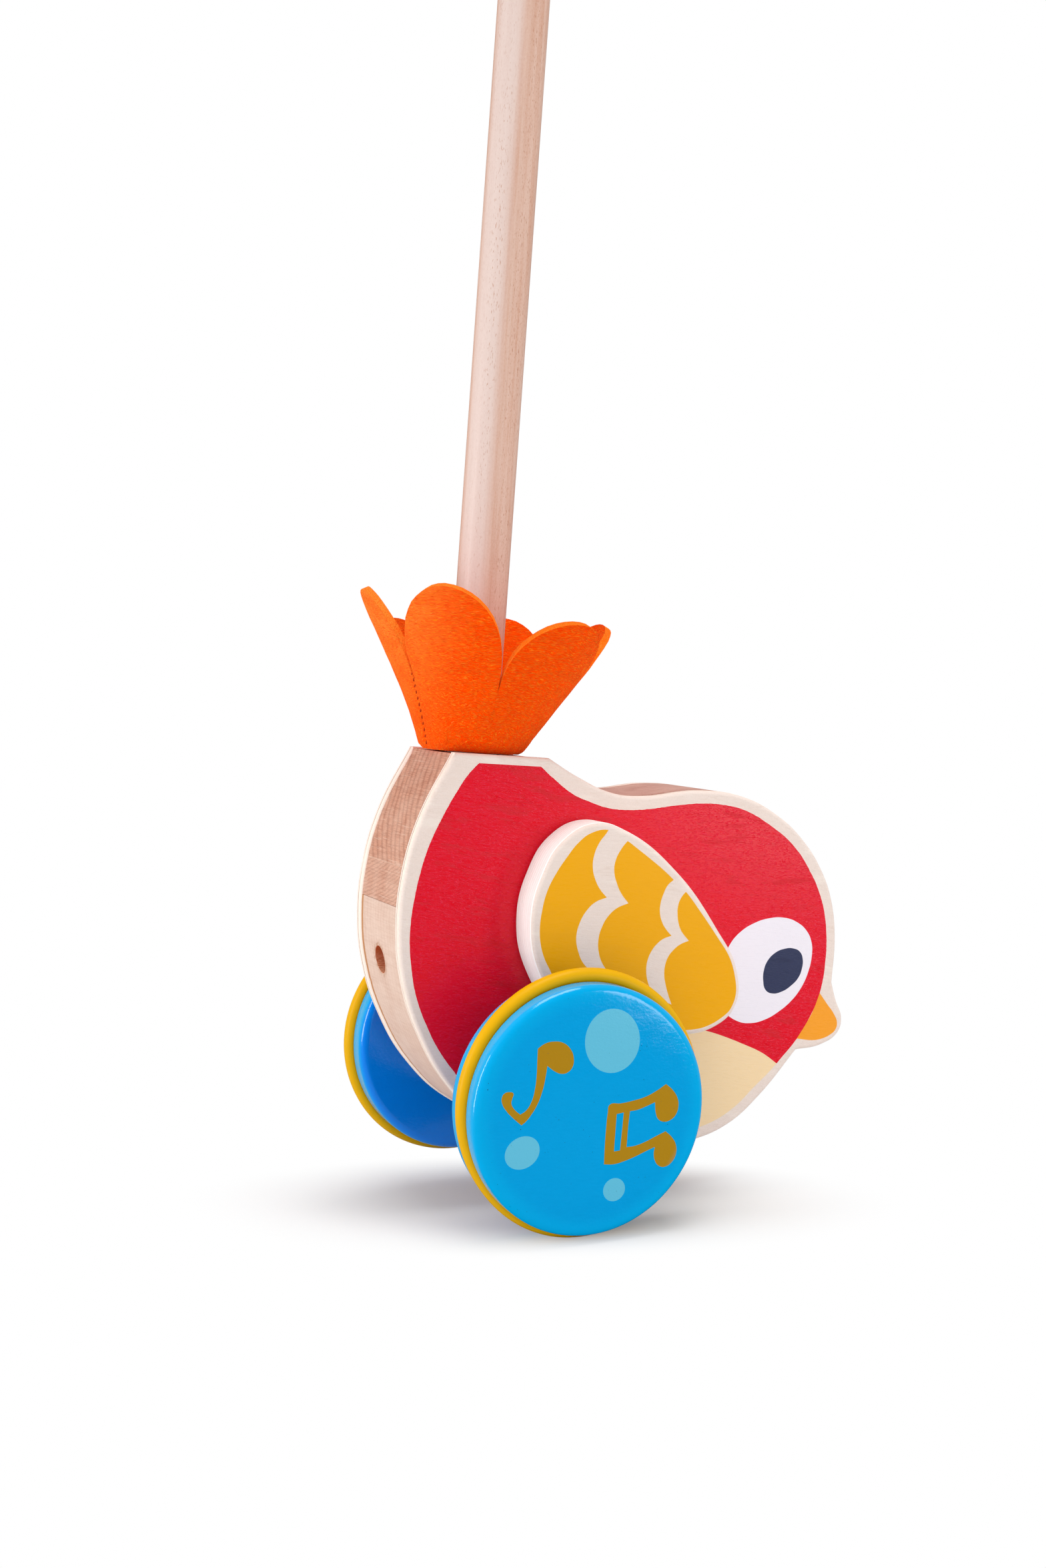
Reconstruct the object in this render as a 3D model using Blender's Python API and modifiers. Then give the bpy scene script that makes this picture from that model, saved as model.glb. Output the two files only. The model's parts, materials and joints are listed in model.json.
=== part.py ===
"""Push-along bird toy: a plywood and beech bird on two grooved wheels, pushed with a beech stick.

The bird faces +X, its right side faces -Y and +Z is up. Everything is modelled round the axle's centre,
under one root empty that carries the whole toy so that the world origin lies in the middle of the grip.
"""
import math

import bmesh
import bpy
from mathutils import Matrix, Vector

MM = 0.001

# General fits and fineness
SEAT_GAP = 0.3 * MM
RUNNING_GAP = 0.3 * MM
MERGE_DISTANCE = 0.01 * MM
CUTTER_REACH = 300.0 * MM
WIDE_STEPS = 48
ROUND_STEPS = 32
NARROW_STEPS = 24
SMALL_STEPS = 16
TINY_STEPS = 12
ROUNDING_STEPS = 4
GROOVE_STEPS = 6
KNOB_STEPS = 14

# Body: two printed plywood panels glued on a core of three beech blocks
CORE_WIDTH = 30.0 * MM
PANEL_THICKNESS = 4.0 * MM
PANEL_ROUNDING = 1.2 * MM
CORE_INSET = 0.4 * MM
UPPER_SEAM_HEIGHT = 52.2 * MM
LOWER_SEAM_HEIGHT = 27.0 * MM
OUTLINE_STEPS = 4
FLAT_ANGLE = math.radians(0.2)

# Tail: its flat top lies square to the stick
TAIL_TILT = math.radians(4.5)
TAIL_BACK_X = -24.9 * MM
TAIL_BACK_Z = 95.3 * MM
TAIL_FRONT_X = 4.0 * MM

# Wings: thick plywood boards glued and dowelled to the panels
WING_THICKNESS = 12.0 * MM
WING_ROUNDING = 1.4 * MM
WING_DOWEL_RADIUS = 3.0 * MM
WING_DOWEL_CORE_DEPTH = 8.0 * MM
WING_DOWEL_COVER = 4.0 * MM
WING_DOWEL_PLACES = ((16.0 * MM, 60.0 * MM), (42.0 * MM, 34.0 * MM))

# Stick, its socket in the tail and the knob on its end
STICK_RADIUS = 7.5 * MM
STICK_LENGTH = 440.0 * MM
STICK_FOOT_X = -12.8 * MM
STICK_END_ROUNDING = 1.0 * MM
SOCKET_DEPTH = 38.0 * MM
KNOB_RADIUS = 17.0 * MM
KNOB_NECK_WALL = 3.5 * MM
KNOB_CROWN = 10.0 * MM

# Felt tail skirt: a cone with six round petals round the stick's foot
FELT_THICKNESS = 3.0 * MM
FELT_BASE_MARGIN = 6.8 * MM
FELT_FIRST_PETAL = math.radians(-126.0)
FELT_PETAL_LENGTHS = (50.2 * MM, 44.0 * MM, 47.0 * MM, 47.0 * MM, 41.5 * MM, 48.6 * MM)
FELT_NOTCH_LENGTH = 21.0 * MM
FELT_PETAL_TAPER = 0.12
FELT_BASE_FLARE = math.radians(26.0)
FELT_MIDDLE_FLARE = math.radians(33.0)
FELT_TIP_FLARE = math.radians(23.0)
FELT_FORWARD_FLARE = math.radians(4.2)
FELT_COLUMNS = 10
FELT_ROWS = 6

# Wheels, each with a rubber ring in its groove
WHEEL_RADIUS = 34.3 * MM
WHEEL_THICKNESS = 18.6 * MM
WHEEL_ROUNDING = 2.6 * MM
WHEEL_WING_CLEARANCE = 6.8 * MM
WHEEL_FACE_WALL = 6.6 * MM
RING_SECTION_RADIUS = 2.3 * MM
RING_OFFSET = 0.7 * MM
RING_STEPS = 10

# Axle and what it runs in
AXLE_RADIUS = 3.0 * MM
BUSH_WALL = 1.4 * MM
BUSH_FLANGE_STEP = 2.8 * MM
BUSH_FLANGE_THICKNESS = 1.5 * MM
BUSH_INNER_LIP = 1.5 * MM
SLEEVE_WALL = 2.2 * MM

# Sound chamber in the core, with its hole at the back
CHAMBER_BACK = -20.0 * MM
CHAMBER_FRONT = 20.0 * MM
CHAMBER_CORNER = 4.0 * MM
CHAMBER_HEADROOM = 0.8 * MM
SOUND_HOLE_RADIUS = 4.0 * MM
SOUND_HOLE_HEIGHT = 35.2 * MM

# Plucked comb: a pinned drum on the axle and a steel comb on a bridge
DRUM_RADIUS = 7.0 * MM
DRUM_END_CLEARANCE = 3.8 * MM
DRUM_WELL_CLEARANCE = 4.0 * MM
PIN_RADIUS = 0.6 * MM
PIN_ROOT_DEPTH = 2.0 * MM
PIN_REACH = 2.0 * MM
COMB_TEETH = 5
COMB_END_MARGIN = 1.0 * MM
COMB_SLOT = 0.8 * MM
COMB_THICKNESS = 1.0 * MM
COMB_CLEARANCE = 0.4 * MM
COMB_TIP_X = 1.1 * MM
COMB_ROOT = 7.0 * MM
BRIDGE_HEIGHT = 8.0 * MM
COMB_SCREW_RADIUS = 1.2 * MM
COMB_SCREW_HEAD_STEP = 1.0 * MM
COMB_SCREW_HEAD_HEIGHT = 1.3 * MM
COMB_SCREW_LENGTH = 7.0 * MM
COMB_SCREW_EDGE = 3.6 * MM

# Worked out from the values above
PANEL_INNER = CORE_WIDTH / 2 + SEAT_GAP
PANEL_OUTER = PANEL_INNER + PANEL_THICKNESS
WING_INNER = PANEL_OUTER + SEAT_GAP
WING_OUTER = WING_INNER + WING_THICKNESS
WHEEL_INNER_FACE = WING_OUTER + WHEEL_WING_CLEARANCE
WHEEL_MIDDLE = WHEEL_INNER_FACE + WHEEL_THICKNESS / 2
WHEEL_SOCKET_DEPTH = WHEEL_THICKNESS - WHEEL_FACE_WALL
BUSH_BORE = AXLE_RADIUS + RUNNING_GAP
BUSH_RADIUS = BUSH_BORE + BUSH_WALL
BUSH_FLANGE_FACE = PANEL_OUTER + SEAT_GAP + BUSH_FLANGE_THICKNESS
STICK_BORE = STICK_RADIUS + SEAT_GAP
STICK_TOP_IN_KNOB = KNOB_RADIUS - KNOB_CROWN
FELT_BASE_RADIUS = STICK_RADIUS + FELT_BASE_MARGIN
CHAMBER_TOP = SOUND_HOLE_HEIGHT + SOUND_HOLE_RADIUS + CHAMBER_HEADROOM
DRUM_HALF_LENGTH = PANEL_INNER - BUSH_INNER_LIP - DRUM_END_CLEARANCE
COMB_HALF_WIDTH = DRUM_HALF_LENGTH - COMB_END_MARGIN
COMB_PITCH = 2 * COMB_HALF_WIDTH / COMB_TEETH
PIN_CIRCLE = DRUM_RADIUS + PIN_REACH
DRUM_WELL_RADIUS = PIN_CIRCLE + DRUM_WELL_CLEARANCE

# The rest of the body's side outline, clockwise from the front of the tail: x, z in mm, S smooth or C corner
BODY_OUTLINE = (
    (12.8, 87.6, "S"), (24.3, 82.4, "S"), (34.0, 81.2, "S"), (52.0, 82.3, "S"), (67.0, 80.2, "S"),
    (80.0, 74.0, "S"), (89.2, 66.4, "S"), (95.8, 57.6, "S"), (99.6, 48.0, "S"), (100.6, 36.0, "S"),
    (99.5, 21.5, "C"), (103.4, 10.0, "S"), (101.8, 6.2, "S"), (96.0, 2.9, "S"), (86.8, 1.6, "C"),
    (74.0, -11.4, "S"), (63.0, -19.2, "S"), (50.0, -22.9, "S"), (28.0, -23.6, "S"), (6.0, -20.4, "S"),
    (-13.1, -12.3, "S"), (-26.4, 0.2, "S"), (-35.6, 16.0, "S"), (-40.6, 32.0, "S"), (-41.8, 46.0, "S"),
    (-40.2, 61.0, "S"), (-35.2, 77.0, "S"),
)

# Side outline of a wing, clockwise from its upper back
WING_OUTLINE = (
    (-3.4, 62.0, "S"), (3.0, 71.0, "S"), (13.0, 75.3, "S"), (22.5, 72.7, "S"), (38.4, 60.6, "S"),
    (52.0, 43.0, "S"), (58.9, 30.0, "S"), (58.4, 19.6, "S"), (51.2, 13.8, "S"), (38.0, 12.6, "S"),
    (18.0, 14.8, "S"), (4.0, 21.6, "S"), (-4.4, 33.4, "S"), (-7.1, 48.0, "S"),
)

SIDES = ((-1, "right"), (1, "left"))


# Collections, materials and small helpers

def clear_scene():
    for scene_object in list(bpy.data.objects):
        bpy.data.objects.remove(scene_object, do_unlink=True)


def make_collection(name):
    collection = bpy.data.collections.new(name)
    bpy.context.scene.collection.children.link(collection)
    return collection


def make_material(name, colour, roughness, metallic=0.0):
    material = bpy.data.materials.new(name)
    material.use_nodes = True
    shader = material.node_tree.nodes["Principled BSDF"]
    shader.inputs["Base Color"].default_value = (*colour, 1.0)
    shader.inputs["Roughness"].default_value = roughness
    shader.inputs["Metallic"].default_value = metallic
    material.diffuse_color = (*colour, 1.0)
    return material


def add_object(name, data, parent, collection, material=None):
    new_object = bpy.data.objects.new(name, data)
    collection.objects.link(new_object)
    new_object.parent = parent
    if material:
        data.materials.append(material)
    return new_object


def as_cutter(cutter):
    cutter.hide_render = True
    cutter.display_type = "WIRE"
    return cutter


def boolean(target, tool, operation="DIFFERENCE"):
    modifier = target.modifiers.new(f"{operation.lower()}_{tool.name}", "BOOLEAN")
    modifier.operation = operation
    modifier.solver = "EXACT"
    modifier.object = tool


def round_edges(target, width, segments=2, angle=50.0):
    bevel = target.modifiers.new("rounded_edges", "BEVEL")
    bevel.width = width
    bevel.segments = segments
    bevel.limit_method = "ANGLE"
    bevel.angle_limit = math.radians(angle)
    bevel.use_clamp_overlap = False


def smooth_shading(target, angle=35.0):
    target.data.shade_smooth()
    target.data.set_sharp_from_angle(angle=math.radians(angle))


# Shapes

def board(name, outline, low_y, high_y, parent, collection, material=None, shrink=0.0):
    """A flat board: a closed Bezier outline in X and Z, extruded between two Y places."""
    curve = bpy.data.curves.new(name + "_outline", "CURVE")
    curve.dimensions = "2D"
    curve.fill_mode = "BOTH"
    curve.extrude = (high_y - low_y) / 2
    curve.offset = -shrink
    curve.resolution_u = OUTLINE_STEPS
    spline = curve.splines.new("BEZIER")
    spline.bezier_points.add(len(outline) - 1)
    spline.use_cyclic_u = True
    for point, (x, z, kind) in zip(spline.bezier_points, outline):
        point.co = (x * MM, z * MM, 0.0)
        handle = "AUTO" if kind == "S" else "VECTOR"
        point.handle_left_type = handle
        point.handle_right_type = handle
    drawn = bpy.data.objects.new(name + "_curve", curve)
    bpy.context.scene.collection.objects.link(drawn)
    bpy.context.view_layer.update()
    mesh = bpy.data.meshes.new_from_object(drawn.evaluated_get(bpy.context.evaluated_depsgraph_get()))
    bpy.data.objects.remove(drawn, do_unlink=True)
    form = bmesh.new()
    form.from_mesh(mesh)
    bmesh.ops.remove_doubles(form, verts=form.verts, dist=MERGE_DISTANCE)
    bmesh.ops.dissolve_limit(form, angle_limit=FLAT_ANGLE, verts=form.verts, edges=form.edges)
    middle = (low_y + high_y) / 2
    form.transform(Matrix.Translation((0.0, middle, 0.0)) @ Matrix.Rotation(math.radians(90), 4, "X"))
    bmesh.ops.recalc_face_normals(form, faces=form.faces)
    form.to_mesh(mesh)
    form.free()
    mesh.name = name
    return add_object(name, mesh, parent, collection, material)


def add_box(form, low, high):
    """Add a closed box between two corners to a mesh under construction."""
    low, high = Vector(low), Vector(high)
    place = Matrix.Translation((low + high) / 2) @ Matrix.Diagonal((*(high - low), 1.0))
    bmesh.ops.create_cube(form, size=1.0, matrix=place)


def boxes(name, corners, parent, collection, material=None):
    form = bmesh.new()
    for low, high in corners:
        add_box(form, low, high)
    mesh = bpy.data.meshes.new(name)
    form.to_mesh(mesh)
    form.free()
    return add_object(name, mesh, parent, collection, material)


def add_rod(form, start, end, radius, steps):
    """Add a closed cylinder between two points to a mesh under construction."""
    start, end = Vector(start), Vector(end)
    turn = (end - start).to_track_quat("Z", "Y").to_matrix().to_4x4()
    place = Matrix.Translation((start + end) / 2) @ turn
    bmesh.ops.create_cone(form, cap_ends=True, segments=steps, radius1=radius, radius2=radius,
                          depth=(end - start).length, matrix=place)


def rods(name, runs, radius, steps, parent, collection, material=None):
    form = bmesh.new()
    for start, end in runs:
        add_rod(form, start, end, radius, steps)
    mesh = bpy.data.meshes.new(name)
    form.to_mesh(mesh)
    form.free()
    rod_object = add_object(name, mesh, parent, collection, material)
    smooth_shading(rod_object)
    return rod_object


def turned(name, profile, steps, parent, collection, material=None):
    """A turned solid: a profile of (radius, height) pairs, from the top down its outer side."""
    mesh = bpy.data.meshes.new(name)
    edges = [(index, index + 1) for index in range(len(profile) - 1)]
    if profile[0][0] > 0.0 and profile[-1][0] > 0.0:
        edges.append((len(profile) - 1, 0))
    mesh.from_pydata([(radius, 0.0, height) for radius, height in profile], edges, [])
    turned_object = add_object(name, mesh, parent, collection, material)
    screw = turned_object.modifiers.new("turned", "SCREW")
    screw.steps = steps
    screw.render_steps = steps
    screw.use_merge_vertices = True
    screw.merge_threshold = MERGE_DISTANCE
    screw.use_smooth_shade = True
    return turned_object


def arc(centre, radius, start_degrees, end_degrees, steps):
    points = []
    for index in range(steps + 1):
        angle = math.radians(start_degrees + (end_degrees - start_degrees) * index / steps)
        points.append((centre[0] + radius * math.cos(angle), centre[1] + radius * math.sin(angle)))
    return points


def along_side(side):
    """Turn a part's own Z axis to point out of one side: -1 is the bird's right, +1 its left."""
    return Matrix.Rotation(math.radians(-90.0 * side), 4, "X")


# Places along the stick

def stick_direction():
    return Vector((math.sin(TAIL_TILT), 0.0, math.cos(TAIL_TILT)))


def tail_top_height(x):
    """The height of the tail's flat top, which falls towards the front because it is square to the stick."""
    return TAIL_BACK_Z - (x - TAIL_BACK_X) * math.tan(TAIL_TILT)


def tail_top_point():
    """Where the stick's axis meets the flat top of the tail."""
    return Vector((STICK_FOOT_X, 0.0, tail_top_height(STICK_FOOT_X)))


def knob_centre():
    return tail_top_point() + stick_direction() * (STICK_LENGTH - SOCKET_DEPTH - STICK_TOP_IN_KNOB)


def body_outline():
    tail_top = ((TAIL_BACK_X / MM, TAIL_BACK_Z / MM, "C"),
                (TAIL_FRONT_X / MM, tail_top_height(TAIL_FRONT_X) / MM, "C"))
    return tail_top + BODY_OUTLINE


# Body

def chamber_cutter(root, cutters):
    """A square window through the core with a round well below it for the drum."""
    window = boxes("chamber_window_cutter",
                   [((CHAMBER_BACK, -PANEL_INNER, 0.0), (CHAMBER_FRONT, PANEL_INNER, CHAMBER_TOP))],
                   root, cutters)
    round_edges(window, CHAMBER_CORNER, ROUNDING_STEPS)
    well = rods("drum_well_cutter", [((0, -PANEL_INNER, 0), (0, PANEL_INNER, 0))], DRUM_WELL_RADIUS,
                ROUND_STEPS, root, cutters)
    boolean(well, window, "UNION")
    as_cutter(window)
    return as_cutter(well)


def socket_cutter(root, cutters):
    foot = tail_top_point()
    bottom = foot - stick_direction() * (SOCKET_DEPTH + SEAT_GAP)
    top = foot + stick_direction() * SOCKET_DEPTH
    return as_cutter(rods("stick_socket_cutter", [(bottom, top)], STICK_BORE, ROUND_STEPS, root, cutters))


def sound_hole_cutter(root, cutters):
    outside = (-CUTTER_REACH, 0.0, SOUND_HOLE_HEIGHT)
    inside = (CHAMBER_BACK + SOUND_HOLE_RADIUS, 0.0, SOUND_HOLE_HEIGHT)
    return as_cutter(rods("sound_hole_cutter", [(outside, inside)], SOUND_HOLE_RADIUS, NARROW_STEPS,
                          root, cutters))


def bush_hole_cutter(root, cutters):
    run = ((0.0, -WING_OUTER, 0.0), (0.0, WING_OUTER, 0.0))
    return as_cutter(rods("bush_hole_cutter", [run], BUSH_RADIUS + SEAT_GAP, NARROW_STEPS, root, cutters))


def dowel_run(side, place, end_gap):
    """The two ends of a wing dowel, or of its hole when the end gap is more than nothing."""
    x, z = place
    inner = CORE_WIDTH / 2 - WING_DOWEL_CORE_DEPTH - end_gap
    outer = WING_OUTER - WING_DOWEL_COVER + end_gap
    return ((x, side * inner, z), (x, side * outer, z))


def make_core(root, collection, cutters, materials, holes):
    half_core = CORE_WIDTH / 2
    levels = {
        "core_tail_block": (UPPER_SEAM_HEIGHT + SEAT_GAP / 2, CUTTER_REACH),
        "core_middle_block": (LOWER_SEAM_HEIGHT + SEAT_GAP / 2, UPPER_SEAM_HEIGHT - SEAT_GAP / 2),
        "core_lower_block": (-CUTTER_REACH, LOWER_SEAM_HEIGHT - SEAT_GAP / 2),
    }
    for name, (low, high) in levels.items():
        block = board(name, body_outline(), -half_core, half_core, root, collection, materials["beech"],
                      shrink=CORE_INSET)
        corners = ((-CUTTER_REACH, -CUTTER_REACH, low), (CUTTER_REACH, CUTTER_REACH, high))
        stave = as_cutter(boxes(name + "_stave", [corners], root, cutters))
        boolean(block, stave, "INTERSECT")
        for hole in holes:
            boolean(block, hole)


def make_side(side, label, root, collection, cutters, materials):
    """One panel and one wing, with the dowels that hold the wing."""
    bush_hole = bpy.data.objects["bush_hole_cutter"]
    dowel_holes = bpy.data.objects["wing_dowel_hole_cutter"]
    low, high = sorted((side * PANEL_INNER, side * PANEL_OUTER))
    panel = board(f"side_panel_{label}", body_outline(), low, high, root, collection,
                  materials["red_panel"])
    round_edges(panel, PANEL_ROUNDING)
    boolean(panel, bush_hole)
    boolean(panel, dowel_holes)

    low, high = sorted((side * WING_INNER, side * WING_OUTER))
    wing = board(f"wing_{label}", WING_OUTLINE, low, high, root, collection, materials["yellow_wing"])
    round_edges(wing, WING_ROUNDING)
    boolean(wing, dowel_holes)
    for level, place in zip(("upper", "lower"), WING_DOWEL_PLACES):
        rods(f"wing_dowel_{label}_{level}", [dowel_run(side, place, 0.0)], WING_DOWEL_RADIUS,
             SMALL_STEPS, root, collection, materials["beech"])


def make_body(root, collection, cutters, materials):
    bush_hole_cutter(root, cutters)
    hole_runs = [dowel_run(side, place, SEAT_GAP) for side, _ in SIDES for place in WING_DOWEL_PLACES]
    dowel_holes = as_cutter(rods("wing_dowel_hole_cutter", hole_runs, WING_DOWEL_RADIUS + SEAT_GAP,
                                 SMALL_STEPS, root, cutters))
    holes = (chamber_cutter(root, cutters), socket_cutter(root, cutters),
             sound_hole_cutter(root, cutters), dowel_holes)
    make_core(root, collection, cutters, materials, holes)
    for side, label in SIDES:
        make_side(side, label, root, collection, cutters, materials)


# Stick, knob and felt skirt

def make_stick(root, collection, materials):
    tilt = Matrix.Rotation(TAIL_TILT, 4, "Y")
    bottom = -SOCKET_DEPTH
    top = STICK_LENGTH - SOCKET_DEPTH
    rounding = STICK_END_ROUNDING
    stick = turned("stick", [
        (0.0, top), (STICK_RADIUS - rounding, top), (STICK_RADIUS, top - rounding),
        (STICK_RADIUS, bottom + rounding), (STICK_RADIUS - rounding, bottom), (0.0, bottom),
    ], ROUND_STEPS, root, collection, materials["beech"])
    stick.matrix_local = Matrix.Translation(tail_top_point()) @ tilt

    neck_angle = math.degrees(math.acos((STICK_RADIUS + KNOB_NECK_WALL) / KNOB_RADIUS))
    skin = arc((0.0, 0.0), KNOB_RADIUS, 90.0, -neck_angle, KNOB_STEPS)
    skin[0] = (0.0, KNOB_RADIUS)
    base = skin[-1][1]
    bore_top = STICK_TOP_IN_KNOB + SEAT_GAP
    knob = turned("stick_knob", skin + [(STICK_BORE, base), (STICK_BORE, bore_top), (0.0, bore_top)],
                  ROUND_STEPS, root, collection, materials["beech"])
    knob.matrix_local = Matrix.Translation(knob_centre()) @ tilt


def felt_flare(share, angle):
    """How far the skirt leans out, at a share of its length and an angle round the stick."""
    bow = FELT_MIDDLE_FLARE - (FELT_BASE_FLARE + FELT_TIP_FLARE) / 2
    straight = FELT_BASE_FLARE + (FELT_TIP_FLARE - FELT_BASE_FLARE) * share
    return straight + 4 * bow * share * (1 - share) + FELT_FORWARD_FLARE * math.cos(angle)


def felt_point(angle, length):
    """A point on the skirt's outer face, at a length up from the rim of its flat base."""
    steps = 12
    radius, height = FELT_BASE_RADIUS, 0.0
    for index in range(steps):
        flare = felt_flare((index + 0.5) / steps * length / max(FELT_PETAL_LENGTHS), angle)
        radius += math.sin(flare) * length / steps
        height += math.cos(flare) * length / steps
    return Vector((radius * math.cos(angle), radius * math.sin(angle), height))


def make_felt(root, collection, materials):
    """Rings of points from the stick's hole, over the flat base and up to the edge of the petals."""
    half_pitch = math.pi / len(FELT_PETAL_LENGTHS)
    vertices, faces = [], []
    for petal, petal_length in enumerate(FELT_PETAL_LENGTHS):
        middle = FELT_FIRST_PETAL + petal * 2 * half_pitch
        for step in range(FELT_COLUMNS):
            swing = math.pi * (step / FELT_COLUMNS - 0.5)
            reach = FELT_NOTCH_LENGTH + (petal_length - FELT_NOTCH_LENGTH) * math.cos(swing)
            side = half_pitch * math.sin(swing)
            vertices.append(Vector((STICK_BORE * math.cos(middle + side),
                                    STICK_BORE * math.sin(middle + side), 0.0)))
            for row in range(FELT_ROWS + 1):
                share = row / FELT_ROWS
                narrowing = 1.0 - FELT_PETAL_TAPER * math.cos(swing) * share ** 2
                vertices.append(felt_point(middle + side * narrowing, reach * share))
    ring = FELT_ROWS + 2
    columns = len(vertices) // ring
    for column in range(columns):
        here, after = column * ring, (column + 1) % columns * ring
        for row in range(ring - 1):
            faces.append((here + row, after + row, after + row + 1, here + row + 1))
    mesh = bpy.data.meshes.new("felt_tail")
    mesh.from_pydata(vertices, [], faces)
    felt = add_object("felt_tail", mesh, root, collection, materials["felt"])
    felt.data.shade_smooth()
    thickness = felt.modifiers.new("felt_thickness", "SOLIDIFY")
    thickness.thickness = FELT_THICKNESS
    thickness.offset = -1.0
    thickness.use_even_offset = True
    felt.matrix_local = (Matrix.Translation(tail_top_point() + stick_direction() * SEAT_GAP)
                         @ Matrix.Rotation(TAIL_TILT, 4, "Y"))


# Wheels, axle and bushes

def wheel_profile():
    """Half of a wheel's section, from the middle of its outer face round to its blind axle socket."""
    middle = WHEEL_THICKNESS / 2
    corner = WHEEL_RADIUS - WHEEL_ROUNDING
    groove = RING_SECTION_RADIUS + SEAT_GAP
    bore = AXLE_RADIUS + SEAT_GAP
    socket_end = WHEEL_SOCKET_DEPTH + SEAT_GAP - middle
    profile = [(0.0, middle)]
    profile += arc((corner, middle - WHEEL_ROUNDING), WHEEL_ROUNDING, 90.0, 0.0, ROUNDING_STEPS)
    profile += arc((WHEEL_RADIUS, RING_OFFSET), groove, 90.0, 270.0, GROOVE_STEPS)
    profile += arc((corner, WHEEL_ROUNDING - middle), WHEEL_ROUNDING, 0.0, -90.0, ROUNDING_STEPS)
    profile += [(bore, -middle), (bore, socket_end), (0.0, socket_end)]
    return profile


def make_tyre_ring(side, label, wheelset, collection, materials):
    bpy.ops.mesh.primitive_torus_add(major_radius=WHEEL_RADIUS, minor_radius=RING_SECTION_RADIUS,
                                     major_segments=WIDE_STEPS, minor_segments=RING_STEPS)
    ring = bpy.context.object
    ring.name = f"tyre_ring_{label}"
    ring.data.materials.append(materials["yellow_rubber"])
    for holder in list(ring.users_collection):
        holder.objects.unlink(ring)
    collection.objects.link(ring)
    ring.parent = wheelset
    ring.matrix_local = Matrix.Translation((0, side * (WHEEL_MIDDLE + RING_OFFSET), 0)) @ along_side(side)
    ring.data.shade_smooth()


def make_bush_and_sleeve(side, label, root, wheelset, collection, materials):
    turn = along_side(side)
    sleeve_foot = BUSH_FLANGE_FACE + RUNNING_GAP
    sleeve_length = WHEEL_INNER_FACE - SEAT_GAP - sleeve_foot
    sleeve_radius = BUSH_BORE + SLEEVE_WALL
    sleeve = turned(f"spacer_sleeve_{label}", [
        (BUSH_BORE, sleeve_length), (sleeve_radius, sleeve_length), (sleeve_radius, 0.0), (BUSH_BORE, 0.0),
    ], NARROW_STEPS, wheelset, collection, materials["nylon"])
    sleeve.matrix_local = Matrix.Translation((0, side * sleeve_foot, 0)) @ turn

    tip = PANEL_INNER - BUSH_INNER_LIP - BUSH_FLANGE_FACE
    flange_radius = BUSH_RADIUS + BUSH_FLANGE_STEP
    bush = turned(f"axle_bush_{label}", [
        (BUSH_BORE, 0.0), (flange_radius, 0.0), (flange_radius, -BUSH_FLANGE_THICKNESS),
        (BUSH_RADIUS, -BUSH_FLANGE_THICKNESS), (BUSH_RADIUS, tip), (BUSH_BORE, tip),
    ], NARROW_STEPS, root, collection, materials["nylon"])
    bush.matrix_local = Matrix.Translation((0, side * BUSH_FLANGE_FACE, 0)) @ turn


def make_wheelset(root, collection, cutters, materials):
    """The axle and all that turns with it, under an empty on the axle's centre."""
    wheelset = bpy.data.objects.new("wheelset_axis", None)
    collection.objects.link(wheelset)
    wheelset.parent = root
    axle_end = WHEEL_INNER_FACE + WHEEL_SOCKET_DEPTH
    rods("axle", [((0, -axle_end, 0), (0, axle_end, 0))], AXLE_RADIUS, NARROW_STEPS, wheelset, collection,
         materials["steel"])
    for side, label in SIDES:
        wheel = turned(f"wheel_{label}", wheel_profile(), WIDE_STEPS, wheelset, collection,
                       materials["blue_wheel"])
        wheel.matrix_local = Matrix.Translation((0, side * WHEEL_MIDDLE, 0)) @ along_side(side)
        make_tyre_ring(side, label, wheelset, collection, materials)
        make_bush_and_sleeve(side, label, root, wheelset, collection, materials)
    make_drum(wheelset, collection, cutters, materials)


# Plucked comb

def tooth_places():
    return [(index - (COMB_TEETH - 1) / 2) * COMB_PITCH for index in range(COMB_TEETH)]


def make_drum(wheelset, collection, cutters, materials):
    """A drum with a spiral of pins, two to each tooth of the comb."""
    half = DRUM_HALF_LENGTH
    bore = AXLE_RADIUS + SEAT_GAP
    drum = turned("chime_drum", [(bore, half), (DRUM_RADIUS, half), (DRUM_RADIUS, -half), (bore, -half)],
                  NARROW_STEPS, wheelset, collection, materials["nylon"])
    drum.matrix_local = along_side(1)
    runs = []
    for index, place in enumerate(tooth_places()):
        for half_turn in (0.0, math.pi):
            angle = half_turn + math.pi * (index + 0.5) / COMB_TEETH
            out = Vector((math.cos(angle), 0.0, math.sin(angle)))
            across = Vector((0.0, place, 0.0))
            runs.append((across + out * (DRUM_RADIUS - PIN_ROOT_DEPTH), across + out * PIN_CIRCLE))
    pins = as_cutter(rods("drum_pin_shapes", runs, PIN_RADIUS, TINY_STEPS, wheelset, cutters))
    boolean(drum, pins, "UNION")


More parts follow.
